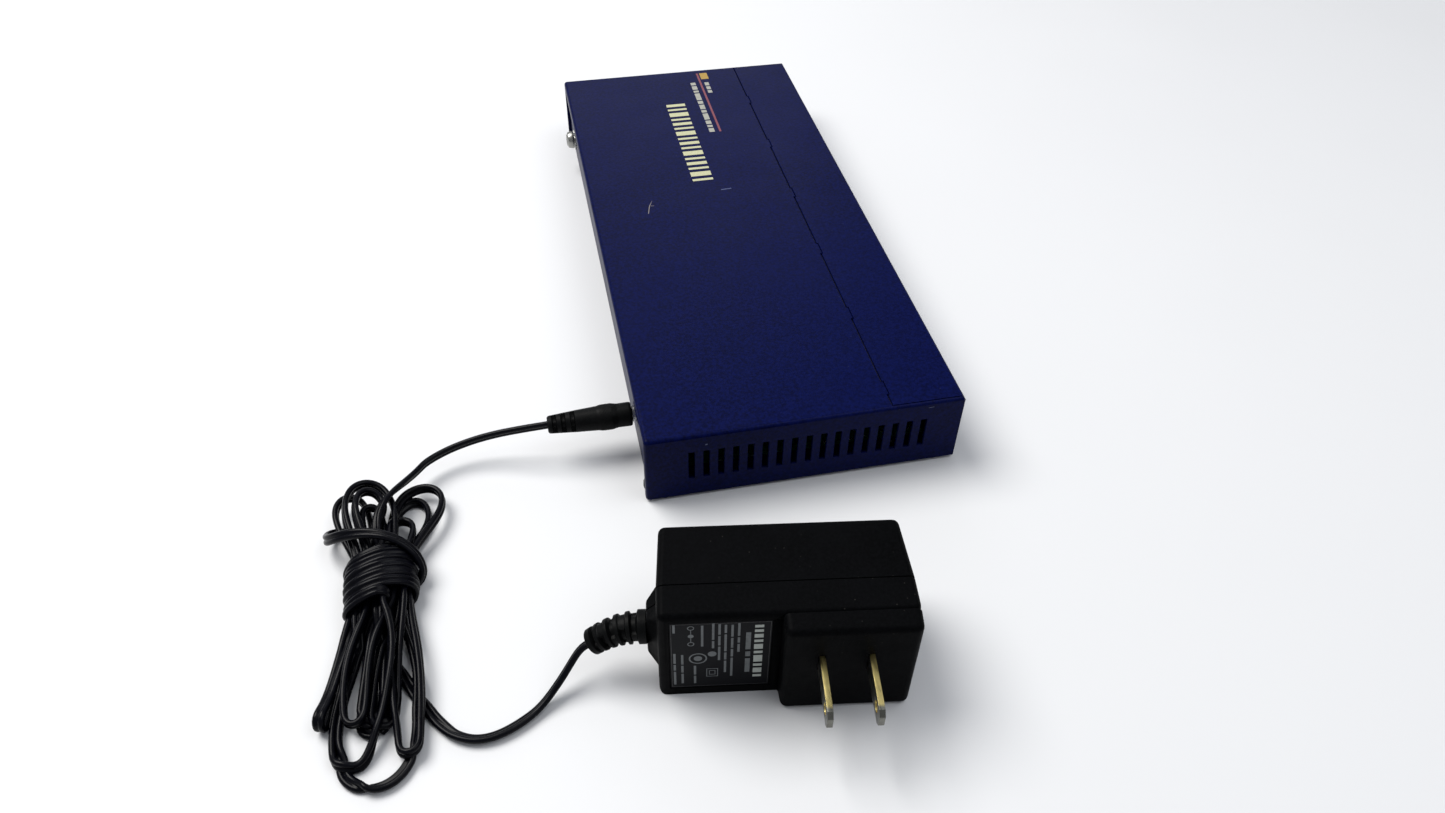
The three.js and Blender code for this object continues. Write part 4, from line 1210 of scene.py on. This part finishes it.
def make_shell(node, name, material):
    """A half of the adapter's housing, with generous radii outside and a fine parting edge.
    The tests take a point of an edge in the adapter's own millimetres."""
    made = clean_copy(node)

    def on_boss(p):
        return p.x < -0.3

    def at_parting(p):
        return abs(p.y) < 0.3

    def at_corner(p):
        at_side = p.x < SHELL["near"] or p.x > SHELL["length"] - SHELL["near"]
        at_end = p.z < SHOWN or p.z > SHELL["height"] - SHELL["near"]
        on_face = abs(p.y - SHELL["face"]) < SHOWN
        at_face = p.y < -15.85 or (on_face and not 2.5 < p.x < 30)
        at_step = abs(p.x - 31.95) < 0.3 and p.y < -10.1
        outer = at_side + at_end + (p.y > 20.5) + at_face + at_step > 1
        return outer and not on_boss(p) and not at_parting(p)

    def at_boss_edge(p):
        return on_boss(p) and not at_parting(p)

    def at_label_edge(p):
        return abs(p.y - SHELL["face"]) < SHOWN and 2.5 < p.x < 30 and 2.5 < p.z < 33

    for radius, segments, wanted in (
        (SHELL["corner"], 5, at_corner), (0.6, 3, at_boss_edge),
        (0.22, 2, at_parting), (0.25, 2, at_label_edge),
    ):
        edges = sharp_edges(made, 30, lambda middle: wanted(to_adapter(middle)))
        round_edges(made, edges, radius, segments, clamp=False)
    mesh = baked(made, name, 28)
    even_light(piece(name, mesh, LEAD_BODY, "adapter_plastic", material, node))


def make_label_print():
    """Plain bars and shapes on the adapter's label, read with the adapter standing up."""
    corners = nodes["adapter_label"].data.vertices
    face = min(to_adapter(corner.co / MM).y for corner in corners)

    def on_label(a, b, rise):
        return from_adapter(a, face - rise, b)

    bright = dashes(24.9, 7, (1.1, 2.2, 1.1, 3, 1.1, 2.2, 1.1, 1.6, 1.1, 1.1), 0.9, 2.3)
    marks = dashes(22.7, 9.4, (6.4, 2.2, 7.6), 1.0, 1.3)
    for a, b, lengths in (
        (20.6, 19, (3.6, 2.4, 5.6)), (18.9, 7.8, (8.6, 3.4, 4.4, 5.2)),
        (17.2, 9.7, (5.4, 3.2, 7.6, 3.6)), (15.6, 15.5, (6.2, 4.2, 4.6)), (14, 21.1, (3.2, 7.2)),
        (11.2, 22.1, (9.2,)), (9.3, 4.9, (3.6, 4.2)), (6, 5.1, (4.6, 3.2, 4.4)),
        (4, 4.6, (6.2, 2.6, 4.6)), (4, 28.4, (3.6,)),
    ):
        marks += dashes(a, b, lengths, 0.6, 0.62)
    marks += ring(10.4, 16.6, 2.4, 2.0) + disc(10.4, 16.6, 1.1) + disc(14.1, 18.5, 1.15)
    marks += border(12.6, 15.7, 7.9, 11.7, 0.22) + border(13.3, 15, 8.8, 10.8, 0.2)
    marks += ring(8.6, 30.3, 0.9, 0.65) + disc(8.6, 26.8, 0.75) + ring(8.6, 23.3, 0.9, 0.65)
    marks += bar(8.5, 8.7, 24.2, 26) + bar(8.5, 8.7, 27.6, 29.4)
    marks_on(on_label, LEAD_BODY, "printed_film", (
        ("label_mark", bright, "silver"), ("label_lines", marks, "faint"),
        ("label_border", border(3.5, 29, 3.5, 32, 0.1), "dark"),
    ))


# ---- everything made

GROUND_SCREW_AT, GROUND_SCREW_BARE = (-48.7, 87, 14.3), 4.4  # its place, and the bare radius
BLADE_TIP = (48, -32.9, 21.5)  # in the adapter's (u, v, z)

cord_finish = moulded("cord_sheath", (0.0009, 0.001, 0.0022), 0.25, 2600, 0.00002, 0.2, 0.08, 0.1)
make_camera()
make_light()
cord, cord_line = make_cord(cord_finish)

INKS = {
    name: ink(title, colour, worn) for name, title, colour, worn in (
        ("cream", "ink_cream", (0.44, 0.44, 0.27), 0.25),
        ("pale", "ink_pale", (0.3, 0.3, 0.26), 0.6),
        ("red", "ink_red", (0.16, 0.03, 0.045), 0.4),
        ("mustard", "ink_mustard", (0.33, 0.2, 0.025), 0.35),
        ("silver", "ink_silver", (0.34, 0.37, 0.34), 0.4),
        ("faint", "ink_faint", (0.085, 0.095, 0.1), 0.6),
        ("dark", "ink_dark", (0.02, 0.02, 0.022), 0.3),
        ("scratch", "bared_coat", (0.15, 0.135, 0.13), 0.7),
        ("rub", "rubbed_coat", (0.035, 0.05, 0.13), 0.4),
    )
}
paint = powder_coat("navy_powder_coat")
rear_paint = powder_coat("navy_powder_coat_rear", GROUND_SCREW_AT, GROUND_SCREW_BARE)
rubber = moulded("foot_rubber", (0.012, 0.012, 0.013), 0.8, 1400, 0.00008, 0.3, 0.5, 0.3)
grip = moulded("grip_plastic", (0.0018, 0.002, 0.0022), 0.45, 1900, 0.00007, 0.3, 0.15, 0.07)
shell = moulded("adapter_plastic", (0.0012, 0.0013, 0.0016), 0.48, 2400, 0.00006, 0.3, 0.08, 0.02)
socket = moulded("socket_plastic", (0.012, 0.012, 0.013), 0.45, 1800, 0.00004, 0.25, 0.2)
chip = moulded("chip_black", (0.014, 0.014, 0.015), 0.6, 2600, 0.00004, 0.2)
sleeve_film = moulded("capacitor_sleeve", (0.012, 0.018, 0.05), 0.35, 900, 0.00002, 0.2)
zinc = metal("zinc_steel", (0.5, 0.51, 0.5), 0.38, (1, 1, 1), 0.15, (0.3, 0.28, 0.24, 1))
# Near-black metal for the screws under the seam: painted shade, so that nothing gleams through the
# gap.
painted_shade_screw_metal = metal("painted_shade_screw_metal", (0.012, 0.012, 0.014), 0.42, (1, 1, 1), 0.2)
steel = metal("bright_steel", (0.62, 0.63, 0.64), 0.24, (1, 0.1, 1))
dull_steel = metal("dull_steel", (0.33, 0.33, 0.31), 0.3, (1, 0.1, 1), 0.25, (0.13, 0.12, 0.1, 1))
brass = metal("turned_brass", (0.55, 0.4, 0.16), 0.32, (0.1, 1, 1), 0.15)
aluminium = metal("sink_aluminium", (0.5, 0.51, 0.53), 0.4, (0.06, 1, 1))
board_green = circuit_board_finish()
clear = clear_finish()
dark_label = film("label_film", (0.0014, 0.0016, 0.003), 0.3, 0.05)
white_label = film("label_paper", (0.62, 0.63, 0.62), 0.45)
navy_film = film("front_film", (0.003, 0.005, 0.05), 0.35, 0.15)
insulator = film("insulation_film", (0.03, 0.031, 0.032), 0.45)
contact = contact_finish()

make_cover(paint)
make_chassis(rear_paint)
# the black strip of painted shade behind the seam
make_seam_shade_strip(rubber)
make_top_print()
make_scuffs()
make_front_print()
make_bottom_print()
make_plug(grip)
make_relief(grip)
make_shell("adapter_rear_shell", "housing_rear", shell)
make_shell("adapter_front_shell", "housing_front", shell)
make_label_print()

adapter_origin = Vector(from_adapter(0, 0, 0))
blade_ahead, blade_broad = (
    Vector(from_adapter(*way)) - adapter_origin for way in ((0, -1, 0), (1, 0, 0))
)
blade = blade_finish(from_adapter(*BLADE_TIP), blade_ahead, blade_broad)
for node, name, slot, finish, radius, segments, count in (
    ("adapter_blade", "outlet_blade", "brass", blade, 0.28, 3, 2),
    ("port_housing", "port_block", "socket_plastic", socket, 0.12, 2, 2),
    ("port_shield", "port_shell", "bright_steel", steel, 0.08, 2, 2),
    # The case screws lie under the seam and take the near-black metal of painted shade.
    ("case_screw", "floor_screw", "zinc_steel", painted_shade_screw_metal, 0.08, 2, 4),
):
    body = LEAD_BODY if finish is blade else CASE_BODY
    for i in range(1, count + 1):
        softened(f"{node}_{i}", f"{name}_{i}", body, slot, finish, radius, segments)
for number in range(1, 5):
    make_foot(number, rubber)
softened("ground_screw", "earth_screw", "ground_screw", "bright_steel", dull_steel, 0.16, 3)
softened("ground_washer", "earth_washer", "ground_washer", "zinc_steel", dull_steel, 0.1)

FINISHES = {
    zinc: ["ground_nut"],
    # The board screws also lie under the seam: near black, painted shade.
    painted_shade_screw_metal: [f"board_screw_{i}" for i in range(1, 5)],
    brass: [f"board_standoff_{i}" for i in range(1, 5)],
    steel: ["clock_crystal", "power_socket_pin", "power_socket_spring", "plug_sleeve"],
    chip: [
        "switch_chip", "port_magnetics_1", "port_magnetics_2", "power_inductor",
        "voltage_regulator", "adapter_transformer",
    ],
    sleeve_film: ["filter_capacitor_1", "filter_capacitor_2", "adapter_capacitor"],
    aluminium: ["heat_sink"],
    board_green: ["main_circuit_board", "adapter_circuit_board"],
    insulator: ["insulation_sheet"],
    contact: ["port_contacts_1", "port_contacts_2"],
    clear: ["indicator_light_pipe"],
    socket: ["power_socket_housing"],
    grip: ["plug_insulator"],
    dark_label: ["adapter_label"],
    white_label: ["bottom_label"],
    navy_film: ["front_overlay"],
}
for finish, names in FINISHES.items():
    for name in names:
        nodes[name].material_slots[0].material = finish


def make_floor(material, half=12.0):
    """A square floor, its half side in metres."""
    mesh = bpy.data.meshes.new("floor")
    corners = [(-half, -half, 0), (half, -half, 0), (half, half, 0), (-half, half, 0)]
    mesh.from_pydata(corners, [], [(0, 1, 2, 3)])
    mesh.materials.append(material)
    floor = bpy.data.objects.new("floor", mesh)
    scene.collection.objects.link(floor)


make_floor(floor_finish())
